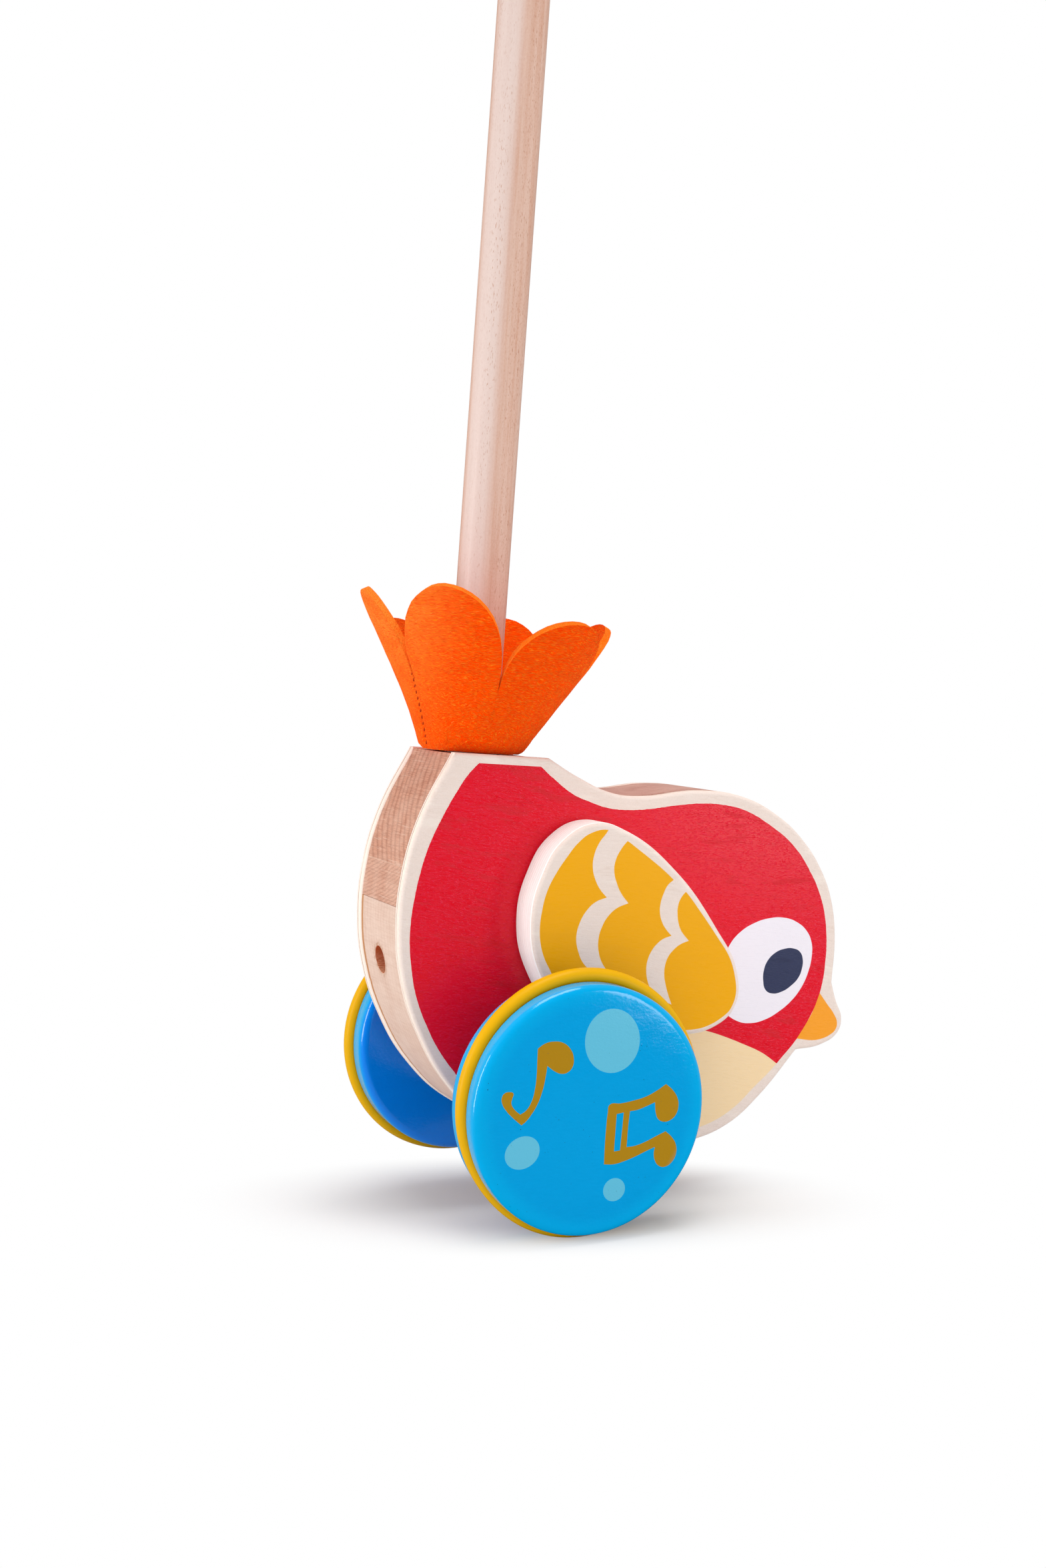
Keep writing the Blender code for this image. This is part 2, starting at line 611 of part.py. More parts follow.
def make_comb(root, collection, cutters, materials):
    """A steel comb whose teeth end over the drum, screwed to a bridge on the chamber's front wall."""
    under = PIN_CIRCLE + COMB_CLEARANCE
    over = under + COMB_THICKNESS
    front = CHAMBER_FRONT - SEAT_GAP
    root_edge = front - COMB_ROOT
    half = COMB_HALF_WIDTH
    comb = boxes("chime_comb", [((COMB_TIP_X, -half, under), (front, half, over))],
                 root, collection, materials["steel"])
    slots = []
    for index in range(COMB_TEETH - 1):
        middle = (tooth_places()[index] + tooth_places()[index + 1]) / 2
        slots.append(((COMB_TIP_X - COMB_ROOT, middle - COMB_SLOT / 2, under - COMB_THICKNESS),
                      (root_edge, middle + COMB_SLOT / 2, over + COMB_THICKNESS)))
    boolean(comb, as_cutter(boxes("comb_slot_cutter", slots, root, cutters)))

    bridge_low = over + SEAT_GAP
    bridge_corners = ((root_edge, -half, bridge_low), (front, half, bridge_low + BRIDGE_HEIGHT))
    bridge = boxes("comb_bridge", [bridge_corners], root, collection, materials["beech"])
    seat = under - SEAT_GAP
    places = [(front - COMB_ROOT / 2, side * (half - COMB_SCREW_EDGE)) for side, _ in SIDES]
    screw_runs = [((x, y, seat - COMB_THICKNESS), (x, y, seat + COMB_SCREW_LENGTH + SEAT_GAP))
                  for x, y in places]
    holes = as_cutter(rods("comb_screw_hole_cutter", screw_runs, COMB_SCREW_RADIUS + SEAT_GAP, TINY_STEPS,
                           root, cutters))
    boolean(comb, holes)
    boolean(bridge, holes)
    head_radius = COMB_SCREW_RADIUS + COMB_SCREW_HEAD_STEP
    for (_, label), (x, y) in zip(SIDES, places):
        screw = turned(f"comb_screw_{label}", [
            (0.0, COMB_SCREW_LENGTH), (COMB_SCREW_RADIUS, COMB_SCREW_LENGTH), (COMB_SCREW_RADIUS, 0.0),
            (head_radius, 0.0), (head_radius, -COMB_SCREW_HEAD_HEIGHT), (0.0, -COMB_SCREW_HEAD_HEIGHT),
        ], TINY_STEPS, root, collection, materials["steel"])
        screw.location = (x, y, seat)


def main():
    clear_scene()
    collection = make_collection("push_along_bird")
    cutters = make_collection("push_along_bird_cutters")
    materials = {
        "beech": make_material("beech", (0.62, 0.40, 0.26), 0.55),
        "red_panel": make_material("red_panel", (0.62, 0.02, 0.05), 0.5),
        "yellow_wing": make_material("yellow_wing", (0.80, 0.42, 0.02), 0.5),
        "blue_wheel": make_material("blue_wheel", (0.0, 0.28, 0.72), 0.25),
        "yellow_rubber": make_material("yellow_rubber", (0.85, 0.50, 0.01), 0.45),
        "felt": make_material("felt", (0.90, 0.16, 0.01), 0.95),
        "nylon": make_material("nylon", (0.75, 0.74, 0.70), 0.45),
        "steel": make_material("steel", (0.55, 0.56, 0.58), 0.3, 1.0),
    }
    root = bpy.data.objects.new("bird_toy_root", None)
    collection.objects.link(root)
    root.location = -knob_centre()
    make_body(root, collection, cutters, materials)
    make_stick(root, collection, materials)
    make_felt(root, collection, materials)
    make_wheelset(root, collection, cutters, materials)
    make_comb(root, collection, cutters, materials)


main()
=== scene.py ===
"""Looks for the push-along bird toy: printed plywood, beech, felt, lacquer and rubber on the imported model.

The bird faces +X, its right side faces -Y and +Z is up. Outlines are drawn in millimetres round the
axle's centre, in X and Z, and every piece's object stands on that centre unless it says otherwise.
"""
import json
import math

import bmesh
import bpy
from bpy.props import FloatProperty, FloatVectorProperty, IntProperty, PointerProperty
from mathutils import Matrix, Vector, noise
from mathutils.geometry import delaunay_2d_cdt


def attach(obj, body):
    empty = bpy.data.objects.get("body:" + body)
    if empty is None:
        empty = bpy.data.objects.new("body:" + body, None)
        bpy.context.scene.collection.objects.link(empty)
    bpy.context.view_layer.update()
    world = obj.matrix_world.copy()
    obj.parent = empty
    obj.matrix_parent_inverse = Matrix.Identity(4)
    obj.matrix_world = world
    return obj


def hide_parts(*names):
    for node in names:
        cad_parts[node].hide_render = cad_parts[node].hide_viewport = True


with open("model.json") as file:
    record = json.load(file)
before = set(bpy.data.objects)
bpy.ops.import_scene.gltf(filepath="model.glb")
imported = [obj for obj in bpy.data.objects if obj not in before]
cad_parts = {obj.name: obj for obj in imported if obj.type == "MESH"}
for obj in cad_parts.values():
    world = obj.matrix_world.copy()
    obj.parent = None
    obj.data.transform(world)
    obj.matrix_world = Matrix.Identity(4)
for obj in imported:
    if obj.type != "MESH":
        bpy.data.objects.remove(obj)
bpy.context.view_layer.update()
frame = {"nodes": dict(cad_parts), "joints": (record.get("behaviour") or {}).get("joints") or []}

bl_info = {
    "name": "Push-along bird toy",
    "version": (1, 0, 0),
    "blender": (4, 5, 0),
    "location": "3D View > Sidebar > Bird Toy",
    "description": "Builds the printed plywood, beech, felt and lacquered pieces of a push-along bird",
    "category": "Object",
}

MM = 0.001
AXLE = Vector(frame["joints"][0]["pos_m"])
SIDES = ((-1, "right"), (1, "left"))
SMOOTH = {"interpolation_type": "SMOOTHSTEP"}

# Body and wing outlines, clockwise from the tail: x, z in mm, C marks a corner
TAIL_TILT = math.radians(4.5)
TAIL_BACK = (-24.9, 95.3)
TAIL_FRONT_X = 4.0
BODY_OUTLINE = (
    (12.8, 87.6), (24.3, 82.4), (34.0, 81.2), (52.0, 82.3), (67.0, 80.2), (79.9, 73.8), (88.8, 66.0),
    (95.1, 57.1), (98.9, 47.8), (100.5, 36.0), (99.5, 21.5, "C"), (101.0, 16.2), (103.2, 10.0), (101.9, 5.8),
    (96.0, 2.5), (86.8, 1.6, "C"), (74.0, -11.4), (63.0, -19.2), (50.0, -22.9), (28.0, -23.6), (6.0, -20.4),
    (-13.1, -12.3), (-26.4, 0.2), (-35.6, 16.0), (-40.6, 32.0), (-41.8, 46.0), (-40.2, 61.0), (-35.2, 77.0),
)
WING_OUTLINE = (
    (-3.4, 62.0), (3.0, 71.0), (13.0, 75.3), (22.5, 72.7), (38.4, 60.6), (52.0, 43.0), (58.9, 30.0),
    (58.4, 19.6), (51.2, 13.8), (38.0, 12.6), (18.0, 14.8), (4.0, 21.6), (-4.4, 33.4), (-7.1, 48.0),
)

# Prints on a side panel
RED_PRINT = (
    (-17.8, 92.2, "C"), (1.2, 90.7, "C"), (5.6, 86.8), (11.5, 82.4), (16.8, 80.1), (22.4, 78.2),
    (29.5, 77.4), (36.2, 77.5), (44.6, 78.2), (53.8, 78.5), (61.9, 77.6), (67.6, 76.1), (76.4, 71.3),
    (85.1, 64.4), (91.3, 55.8), (94.7, 48.6), (96.3, 42.6), (97.0, 35.4), (96.7, 28.3), (94.8, 18.7),
    (90.3, 9.9), (86.8, 5.2), (79.7, -1.9, "C"), (60.0, -14.5), (44.0, -19.0), (28.0, -19.8), (7.5, -16.8),
    (-10.8, -9.0), (-23.0, 2.0), (-25.4, 5.0), (-30.0, 11.6), (-33.7, 18.9), (-36.8, 27.6), (-38.2, 36.0),
    (-38.5, 46.0), (-36.9, 56.2), (-35.5, 61.7), (-33.7, 67.3), (-31.3, 72.7), (-28.3, 78.2), (-24.9, 83.7),
    (-20.9, 89.2),
)
BELLY_PRINT = (
    (79.7, -1.9, "C"), (76.7, -4.6), (72.1, -8.2), (65.2, -13.8), (57.0, -17.8), (47.0, -19.6),
    (28.0, -20.2), (7.5, -17.2), (-6.0, -12.0, "C"), (-1.0, -3.0), (8.0, 5.0), (20.0, 10.6), (34.0, 13.0),
    (46.0, 12.4), (55.5, 10.1), (61.5, 7.9), (67.5, 5.3), (74.6, 1.8),
)
BEAK_PRINT = (
    (94.8, 18.7, "C"), (97.5, 15.1), (100.0, 11.8), (101.2, 8.9), (100.6, 6.8), (98.7, 5.4), (95.6, 4.4),
    (92.5, 4.2), (86.8, 5.2, "C"), (90.3, 9.9), (92.9, 14.2),
)
EYE_WHITE_PRINT = (
    (63.1, 35.8), (66.6, 39.3), (71.6, 41.8), (76.6, 42.9), (81.7, 42.8), (86.3, 41.2), (90.0, 38.1),
    (91.7, 34.4), (91.8, 30.4), (90.6, 25.6), (88.1, 20.8), (84.6, 17.0), (80.5, 14.2), (75.5, 12.0),
    (70.4, 11.3), (65.6, 12.4), (61.6, 15.6), (59.8, 22.1), (60.5, 30.0),
)
PUPIL_PRINT = (
    (74.7, 24.0), (75.0, 27.5), (76.3, 30.1), (78.8, 32.2), (81.8, 33.2), (85.4, 33.1), (87.7, 31.8),
    (88.6, 29.5), (88.3, 26.6), (87.1, 24.0), (84.5, 21.7), (81.5, 20.2), (77.9, 19.8), (75.6, 21.0),
)

# Prints on a wing: the yellow feathers and the two scalloped bands left bare between them
YELLOW_PRINT = (
    (17.0, 73.1), (22.6, 69.8), (26.0, 67.3), (30.6, 63.8), (34.1, 61.0), (37.4, 58.0), (41.4, 54.3),
    (46.1, 48.4), (52.2, 40.0), (56.9, 33.2), (58.6, 30.1), (59.4, 26.6), (59.2, 23.2), (58.2, 20.9),
    (56.3, 18.7), (53.2, 16.5), (49.4, 14.8), (45.6, 14.0), (38.0, 14.2), (28.0, 15.2), (18.0, 17.2),
    (10.0, 20.8), (4.0, 25.4), (0.6, 30.0), (-1.4, 34.3), (-3.1, 37.7), (-4.2, 41.3), (-4.6, 45.9),
    (-3.9, 51.3), (-2.3, 56.8), (0.4, 61.6), (3.7, 66.0), (7.2, 69.9), (11.2, 72.5),
)
BAND_ONE = (
    (17.6, 74.8, "C"), (16.2, 72.6), (13.7, 69.6), (12.1, 66.1), (11.7, 62.6), (12.6, 59.0), (14.0, 56.4),
    (16.1, 54.0, "C"), (12.6, 52.9), (9.8, 50.6), (7.6, 47.1), (6.6, 43.1), (7.1, 39.6), (9.0, 35.5),
    (12.5, 32.6, "C"), (10.0, 28.6), (8.6, 23.0), (8.8, 16.0, "C"), (14.6, 14.0, "C"), (14.4, 22.0),
    (16.4, 27.4), (20.4, 31.0, "C"), (17.2, 32.4), (14.9, 35.0), (13.6, 38.6), (13.5, 42.2), (14.6, 45.7),
    (16.5, 48.6), (19.3, 50.8), (22.9, 52.0, "C"), (20.7, 54.8), (19.3, 57.7), (18.4, 61.3), (18.8, 64.3),
    (20.4, 67.3), (22.6, 69.8), (24.6, 71.4, "C"),
)
BAND_TWO = (
    (39.4, 58.8, "C"), (37.4, 57.9), (35.5, 56.5), (34.1, 54.0), (33.2, 51.4), (33.0, 48.8), (33.8, 45.8),
    (35.1, 43.7), (36.8, 41.8, "C"), (34.2, 41.1), (32.3, 39.9), (30.3, 37.7), (29.0, 34.8), (28.7, 32.1),
    (29.1, 29.4), (30.4, 26.4), (33.2, 23.6), (36.9, 21.8, "C"), (35.6, 25.4), (34.8, 28.4), (34.5, 30.4),
    (34.7, 33.1), (35.7, 35.7), (37.5, 37.7), (39.8, 39.2), (42.4, 40.0, "C"), (39.9, 43.1), (39.0, 45.5),
    (38.7, 47.8), (38.8, 50.1), (39.7, 52.4), (41.4, 54.3), (43.0, 55.2, "C"),
)

# Prints on a wheel's outer face: dots as x, z, half width, half height and tilt, then the notes
DOT_PRINTS = ((5.7, 18.9, 8.2, 8.75, 10.0), (-20.7, -8.85, 5.05, 4.35, 20.0), (6.3, -21.95, 3.3, 3.2, 0.0))
SINGLE_NOTE = (
    (-16.2, 18.7, "C"), (-14.0, 19.9), (-11.4, 20.2), (-8.8, 19.6), (-6.7, 17.7), (-5.8, 15.2), (-6.2, 12.8),
    (-7.7, 11.5), (-9.3, 11.3), (-11.1, 12.0), (-13.5, 13.8, "C"), (-14.0, 10.9), (-14.8, 7.6), (-16.3, 3.9),
    (-18.1, 1.2), (-19.9, -0.7), (-21.0, -1.4, "C"), (-23.2, 0.6), (-25.3, 2.9), (-26.4, 4.9), (-26.5, 6.4),
    (-25.8, 7.5), (-24.3, 7.8), (-23.2, 7.3), (-23.5, 6.1), (-23.8, 4.7), (-23.1, 3.2), (-21.3, 1.5, "C"),
    (-19.7, 2.4), (-18.1, 4.6), (-17.1, 7.9), (-16.6, 11.6), (-16.4, 15.5),
)
NOTE_PAIR = (
    (4.8, 1.5), (8.2, 1.6), (12.0, 2.0), (15.7, 2.7), (19.0, 4.0), (22.0, 5.6, "C"), (24.2, 3.6),
    (25.6, 1.3), (25.9, -0.8), (25.1, -3.2), (23.5, -4.5), (21.3, -4.8), (19.6, -3.9), (18.8, -2.0),
    (18.6, 0.9, "C"), (15.8, 0.0), (13.1, -0.7), (11.0, -0.8, "C"), (10.5, -4.6), (10.0, -10.6, "C"),
    (12.6, -10.5), (15.8, -9.7), (18.5, -8.7), (21.9, -7.5, "C"), (24.0, -9.5), (25.2, -11.6), (25.3, -14.2),
    (24.1, -16.3), (22.0, -17.4), (20.0, -17.0), (18.7, -15.4), (18.3, -13.4), (18.6, -11.5, "C"),
    (15.8, -12.4), (12.6, -13.5), (9.3, -14.4), (6.1, -14.9), (3.2, -14.6, "C"), (3.4, -10.3), (3.8, -4.9),
    (4.3, -0.6),
)
NOTE_PAIR_SLOT = (
    (7.0, -1.2, "C"), (9.1, -1.0, "C"), (8.6, -5.9), (8.0, -11.3, "C"), (6.2, -11.4, "C"), (6.6, -6.2),
)

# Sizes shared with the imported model, in mm
CORE_HALF = 15.0
PANEL_FACES = (15.3, 19.3)
PANEL_ROUNDING = 1.2
WING_FACES = (19.6, 31.6)
WING_ROUNDING = 1.4
BUSH_HOLE_RADIUS = 5.0
DOWEL_HOLE_RADIUS = 3.3
DOWEL_PLACES = ((16.0, 60.0), (42.0, 34.0))
STICK_RADIUS = 7.5
STICK_LENGTH = 440.0
SOCKET_DEPTH = 38.0
STICK_FOOT_X = -12.8
KNOB_RADIUS = 17.0
KNOB_BORE_DEPTH = 10.0
KNOB_PLAY = 0.3
KNOB_FLAT = 3.5
WHEEL_RADIUS = 34.3
WHEEL_FACES = (38.4, 57.0)
WHEEL_ROUNDING = 2.6
RING_RADIUS = 2.3
RING_MIDDLE = 48.4
AXLE_SOCKET = (3.3, 12.3)
FELT_BASE_RADIUS = 14.9
FELT_HOLE_RADIUS = 7.8
FELT_BACK_FLARES = (16.0, 27.0, 26.0)
FELT_FRONT_FLARES = (32.0, 35.0, 25.0)
SEAM_ANGLES = (-170.0, -162.0)

# Notches between the petals: the angle round the stick, the height, and how much the petal tapers
FELT_NOTCHES = (
    (-161.0, 24.0, 0.28), (-96.0, 19.5, 0.1), (-27.0, 21.0, 0.1), (29.0, 21.0, 0.1), (88.0, 21.0, 0.1),
    (149.0, 21.0, 0.1),
)

# Sizes of the looks alone, in mm
CORE_JOINTS = (("core_middle_block", 0.2), ("core_lower_block", 0.28))
CORE_PROUD = 0.45
CORE_PROUD_FROM = 9.0
CORE_PROUD_RUN = 8.0
CORE_PROUD_ABOVE = 60.0
STICK_STEPS = 64
STICK_ROUNDING = 1.0
FACE_FLAT = 18.0
FACE_FALL = 0.5
FACE_RINGS = (18.0, 20.5, 23.0, 25.5, 28.0, 30.0)
FACE_RING_STEPS = 72
GROOVE_PLAY = 0.3
RING_STEPS = 20
FELT_LIFT = 0.1
FELT_CUT_RADIUS = 24.0
FELT_FOOT_ROUNDING = 1.6
PETAL_BLUNTNESS = 0.78
PETAL_HEM = (0.0, 2.2, 4.4)
PETAL_ROW_SPREAD = 1.2
SEAM_DENT = 0.5
SEAM_DENT_HALF_WIDTH = math.radians(2.0)
SEAM_DENT_END = 25.0
STITCH_START = 2.0
STITCH_SIZE = (0.75, 0.28, 0.28)
STITCH_LEANS = (1.6, 0.9)

# Where the near ring stands out of its groove or is sunk in it: the angle, the share of its bulge, and how
# narrow the place is
RING_SWELLS = ((80.0, 1.0, 2), (213.0, -0.8, 6))

# Wood: growth rings as their pith's y and z and their pitch, the tail's glue line with the rings below it,
# the height and radius of the core's torn hole, and the thickness of a ply
TAIL_RINGS = ((-123.0, 164.0), 3.0)
TAIL_LOWER_PIECE = (63.5, ((50.0, 199.0), 1.2))
LOWER_RINGS = ((180.0, 30.0), 2.4)
CORE_HOLE = (35.2, 4.0)
PANEL_PLY = 2.0
WING_PLY = 1.33

# Stage: the camera's turn, rise and place along its own axes in mm, the lamps' turn, rise, distance and
# size, and the oval of painted shadow on the floor, which also bounds where the floor fades to white
CAMERA_TURN = -23.143
CAMERA_RISE = 4.15
CAMERA_PLACE = (3.521, 84.306, 535.755)
LAMP_AIM = (25.0, 0.0, 40.0)
LAMPS = (
    ("left", -92.0, 1.0, 0.55, (0.14, 0.55)), ("right", 34.0, 5.0, 1.0, (0.22, 0.7)),
    ("top", 0.0, 84.0, 1.1, (0.6, 0.6)),
)
SHADE_TURN = -23.0
SHADE_MIDDLE_Y = -15.0
SHADE_HALF_LENGTH = 100.0
SHADE_HALF_WIDTH = 46.0


def linear(hex_colour):
    """Turn an sRGB hex value such as #D71B29 into the linear colour that a shader takes."""
    parts = [int(hex_colour[place:place + 2], 16) / 255.0 for place in (1, 3, 5)]
    return tuple(part / 12.92 if part <= 0.04045 else ((part + 0.055) / 1.055) ** 2.4 for part in parts)


def tuned(thing, **values):
    """Set a thing's attributes and give it back."""
    for name, value in values.items():
        setattr(thing, name, value)
    return thing


def add_object(name, data):
    made = bpy.data.objects.new(name, data)
    bpy.context.scene.collection.objects.link(made)
    return made


# Outlines

def turns(steps):
    """The cosine and the sine of evenly spaced angles round a full turn."""
    angles = [2 * math.pi * step / steps for step in range(steps)]
    return [(math.cos(angle), math.sin(angle)) for angle in angles]


def closed_outline(points, steps):
    """Sample a closed outline of smooth and corner points as Blender's automatic curve handles draw it."""
    curve = tuned(bpy.data.curves.new("outline", "CURVE"), dimensions="3D", resolution_u=steps)
    spline = curve.splines.new("BEZIER")
    spline.bezier_points.add(len(points) - 1)
    spline.use_cyclic_u = True
    for point, place in zip(spline.bezier_points, points):
        handle = "VECTOR" if len(place) > 2 else "AUTO"
        tuned(point, co=(place[0], place[1], 0.0), handle_left_type=handle, handle_right_type=handle)
    drawn = add_object("outline", curve)
    bpy.context.view_layer.update()
    mesh = bpy.data.meshes.new_from_object(drawn.evaluated_get(bpy.context.evaluated_depsgraph_get()))
    loop = [vertex.co.xy for vertex in mesh.vertices]
    bpy.data.objects.remove(drawn, do_unlink=True)
    bpy.data.meshes.remove(mesh)
    bpy.data.curves.remove(curve)
    area = sum(a.x * b.y - b.x * a.y for a, b in zip(loop, loop[1:] + loop[:1]))
    return loop if area > 0 else loop[::-1]


def corner_normals(loop):
    """The outward direction at each point of a counter-clockwise loop, long enough to mitre the corners."""
    normals = []
    for before, here, after in zip(loop[-1:] + loop[:-1], loop, loop[1:] + loop[:1]):
        first, second = (here - before).normalized(), (after - here).normalized()
        first, second = Vector((first.y, -first.x)), Vector((second.y, -second.x))
        middle = (first + second).normalized()
        normals.append(middle / max(middle.dot(first), 0.5))
    return normals


def inset(loop, distance):
    return [point - normal * distance for point, normal in zip(loop, corner_normals(loop))]


def ink_edge(loop, amount, seed):
    """Let a printed edge wander a little, as ink does when it creeps along the grain."""
    return [point + normal * amount * noise.fractal(Vector((*point, seed)) * 1.4, 0.7, 2.0, 4)
            for point, normal in zip(loop, corner_normals(loop))]


def circle(centre, radius, steps):
    return [Vector((centre[0] + radius * cos, centre[1] + radius * sin)) for cos, sin in turns(steps)]


def ellipse(x, z, wide, high, tilt):
    tilted = Matrix.Rotation(math.radians(tilt), 2)
    return [Vector((x, z)) + tilted @ Vector((wide * cos, high * sin)) for cos, sin in turns(48)]


def arc(centre, radius, start, end, steps):
    angles = [math.radians(start + (end - start) * step / steps) for step in range(steps + 1)]
    return [(centre[0] + radius * math.cos(angle), centre[1] + radius * math.sin(angle)) for angle in angles]


def tail_height(x):
    """How high the tail's sloping top stands over the axle, in mm."""
    return TAIL_BACK[1] - (x - TAIL_BACK[0]) * math.tan(TAIL_TILT)


def stick_place():
    """The frame at the stick's foot: its Z runs up the stick."""
    foot = AXLE + Vector((STICK_FOOT_X, 0.0, tail_height(STICK_FOOT_X))) * MM
    return Matrix.Translation(foot) @ Matrix.Rotation(TAIL_TILT, 4, "Y")


# Mesh pieces

def finish_piece(name, form, body, materials, replaced=(), place=None, sharp=40.0):
    """Turn a mesh under construction into a piece that rides on a body and stands for its CAD nodes."""
    mesh = bpy.data.meshes.new(name)
    form.to_mesh(mesh)
    form.free()
    mesh.shade_smooth()
    mesh.set_sharp_from_angle(angle=math.radians(sharp))
    for material in materials:
        mesh.materials.append(material)
    piece = add_object(name, mesh)
    piece.matrix_world = place or Matrix.Translation(AXLE)
    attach(piece, body)
    if replaced:
        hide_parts(*replaced)
    return piece


def even_normals(piece):
    """Keep broad flat faces flat where they meet narrow rounded edges."""
    tuned(piece.modifiers.new("flat_faces", "WEIGHTED_NORMAL"), keep_sharp=True, weight=90)


def add_ring(form, loop, y):
    return [form.verts.new((point.x * MM, y * MM, point.y * MM)) for point in loop]


def bridge(form, first, second, material=0):
    for index in range(len(first)):
        after = (index + 1) % len(first)
        face = form.faces.new((first[index], first[after], second[after], second[index]))
        face.material_index = material


def cut_face(form, rim, holes, prints, y, extra=()):
    """Fill a flat face inside its rim, cut along the prints and open at the holes; the last print wins.
    Extra points make it finer."""
    points, faces = [], []
    for loop in (rim, *holes, *prints):
        faces.append(list(range(len(points), len(points) + len(loop))))
        points += loop
    vertices, _, triangles, _, _, inside = delaunay_2d_cdt([*points, *extra], [], faces, 1, 1e-5)
    placed = add_ring(form, vertices, y)
    for triangle, owners in zip(triangles, inside):
        if 0 in owners and not any(0 < owner <= len(holes) for owner in owners):
            face = form.faces.new([placed[index] for index in triangle])
            face.material_index = max(0, max(owners) - len(holes))


def fall_away(form, face, corner):
    """Let a wheel's face fall away a little towards its rounding, as sanding and lacquer leave it."""
    for vertex in form.verts:
        radius = math.hypot(vertex.co.x, vertex.co.z) / MM
        depth = abs(face) - abs(vertex.co.y) / MM
        if radius > FACE_FLAT and vertex.co.y * face > 0:
            share = min(1.0, (radius - FACE_FLAT) / (corner - FACE_FLAT)) ** 2
            fall = FACE_FALL * share * max(0.0, 1.0 - depth / WHEEL_ROUNDING)
            vertex.co.y -= math.copysign(fall, face) * MM


def printed_board(side, outline, faces, rounding, holes, prints, steps=6):
    """A board with rounded edges. Its materials are the bare face's, the prints' in turn, and the edge's,
    which starts two steps before the end of the outer rounding."""
    form = bmesh.new()
    edge = len(prints) + 1
    inner, outer = (side * face for face in faces)
    rings = []
    for face, inward, order in ((outer, side, range(steps + 1)), (inner, -side, range(steps, -1, -1))):
        for turn in order:
            angle = math.pi / 2 * turn / steps
            drawn_in, back = rounding * (1 - math.sin(angle)), rounding * (1 - math.cos(angle))
            rings.append((inset(outline, drawn_in), face - inward * back))
    placed = [add_ring(form, loop, y) for loop, y in rings]
    for step, (first, second) in enumerate(zip(placed, placed[1:])):
        bridge(form, first, second, 0 if step < steps - 2 else edge)
    cut_face(form, rings[0][0], holes, prints, outer)
    cut_face(form, rings[-1][0], holes, (), inner)
    for hole in holes:
        bridge(form, add_ring(form, hole, outer), add_ring(form, hole, inner), edge)
    bmesh.ops.remove_doubles(form, verts=form.verts, dist=0.001 * MM)
    bmesh.ops.recalc_face_normals(form, faces=form.faces)
    return form


def printed_pair(name, node, slot, materials, *board):
    """The right and the left one of a printed board."""
    for side, label in SIDES:
        form = printed_board(side, *board)
        even_normals(finish_piece(f"{name}_{label}", form, "bird", materials, [f"{node}_{label}"]))


def turned_form(profile, steps, axis_turn=None):
    """A solid turned round Z, from a profile of (radius, height) in mm that starts and ends on the axis."""
    form = bmesh.new()
    rings = [[form.verts.new((radius * MM * cos, radius * MM * sin, height * MM))
              for cos, sin in turns(steps if radius > 0 else 1)] for radius, height in profile]
    for first, second in zip(rings, rings[1:]):
        for step in range(steps):
            after = (step + 1) % steps
            corners = [first[step % len(first)], first[after % len(first)],
                       second[after % len(second)], second[step % len(second)]]
            form.faces.new(list(dict.fromkeys(corners)))
    bmesh.ops.recalc_face_normals(form, faces=form.faces)
    if axis_turn:
        form.transform(axis_turn)
    return form


def ring_form(side, steps, bulge):
    """A rubber ring in its groove, which stands out of it at the top and is sunk in it at the back."""
    form = bmesh.new()
    rings = []
    for step in range(steps):
        angle = 2 * math.pi * step / steps
        lift = sum(bulge * share * max(0.0, math.cos(angle - math.radians(at))) ** narrow
                   for at, share, narrow in RING_SWELLS)
        loop = []
        for cos, sin in turns(RING_STEPS):
            radius = WHEEL_RADIUS + lift + RING_RADIUS * cos
            loop.append(form.verts.new(Vector((
                radius * math.cos(angle), side * RING_MIDDLE + RING_RADIUS * sin,
                radius * math.sin(angle))) * MM))
        rings.append(loop)
    for ring, after in zip(rings, rings[1:] + rings[:1]):
        bridge(form, ring, after)
    bmesh.ops.recalc_face_normals(form, faces=form.faces)
    return form


def refined_copy(node, body, material):
    """A CAD node's own shape, with its facets joined and shaded as the smooth surfaces they stand for."""
    form = bmesh.new()
    form.from_mesh(frame["nodes"][node].data)
    bmesh.ops.remove_doubles(form, verts=form.verts, dist=0.002 * MM)
    bmesh.ops.dissolve_limit(form, angle_limit=math.radians(0.4), verts=form.verts, edges=form.edges)
    form.transform(Matrix.Translation(-AXLE))
    piece = finish_piece(node + "_finish", form, body, [material], [node], sharp=30.0)
    even_normals(piece)
    return piece


# The felt skirt

def seam_angle(length):
    """Where the sewn seam runs, as an angle round the stick, at a length up from the base."""
    low, high = SEAM_ANGLES
    return math.radians(low + (high - low) * min(1.0, length / FELT_NOTCHES[0][1]))


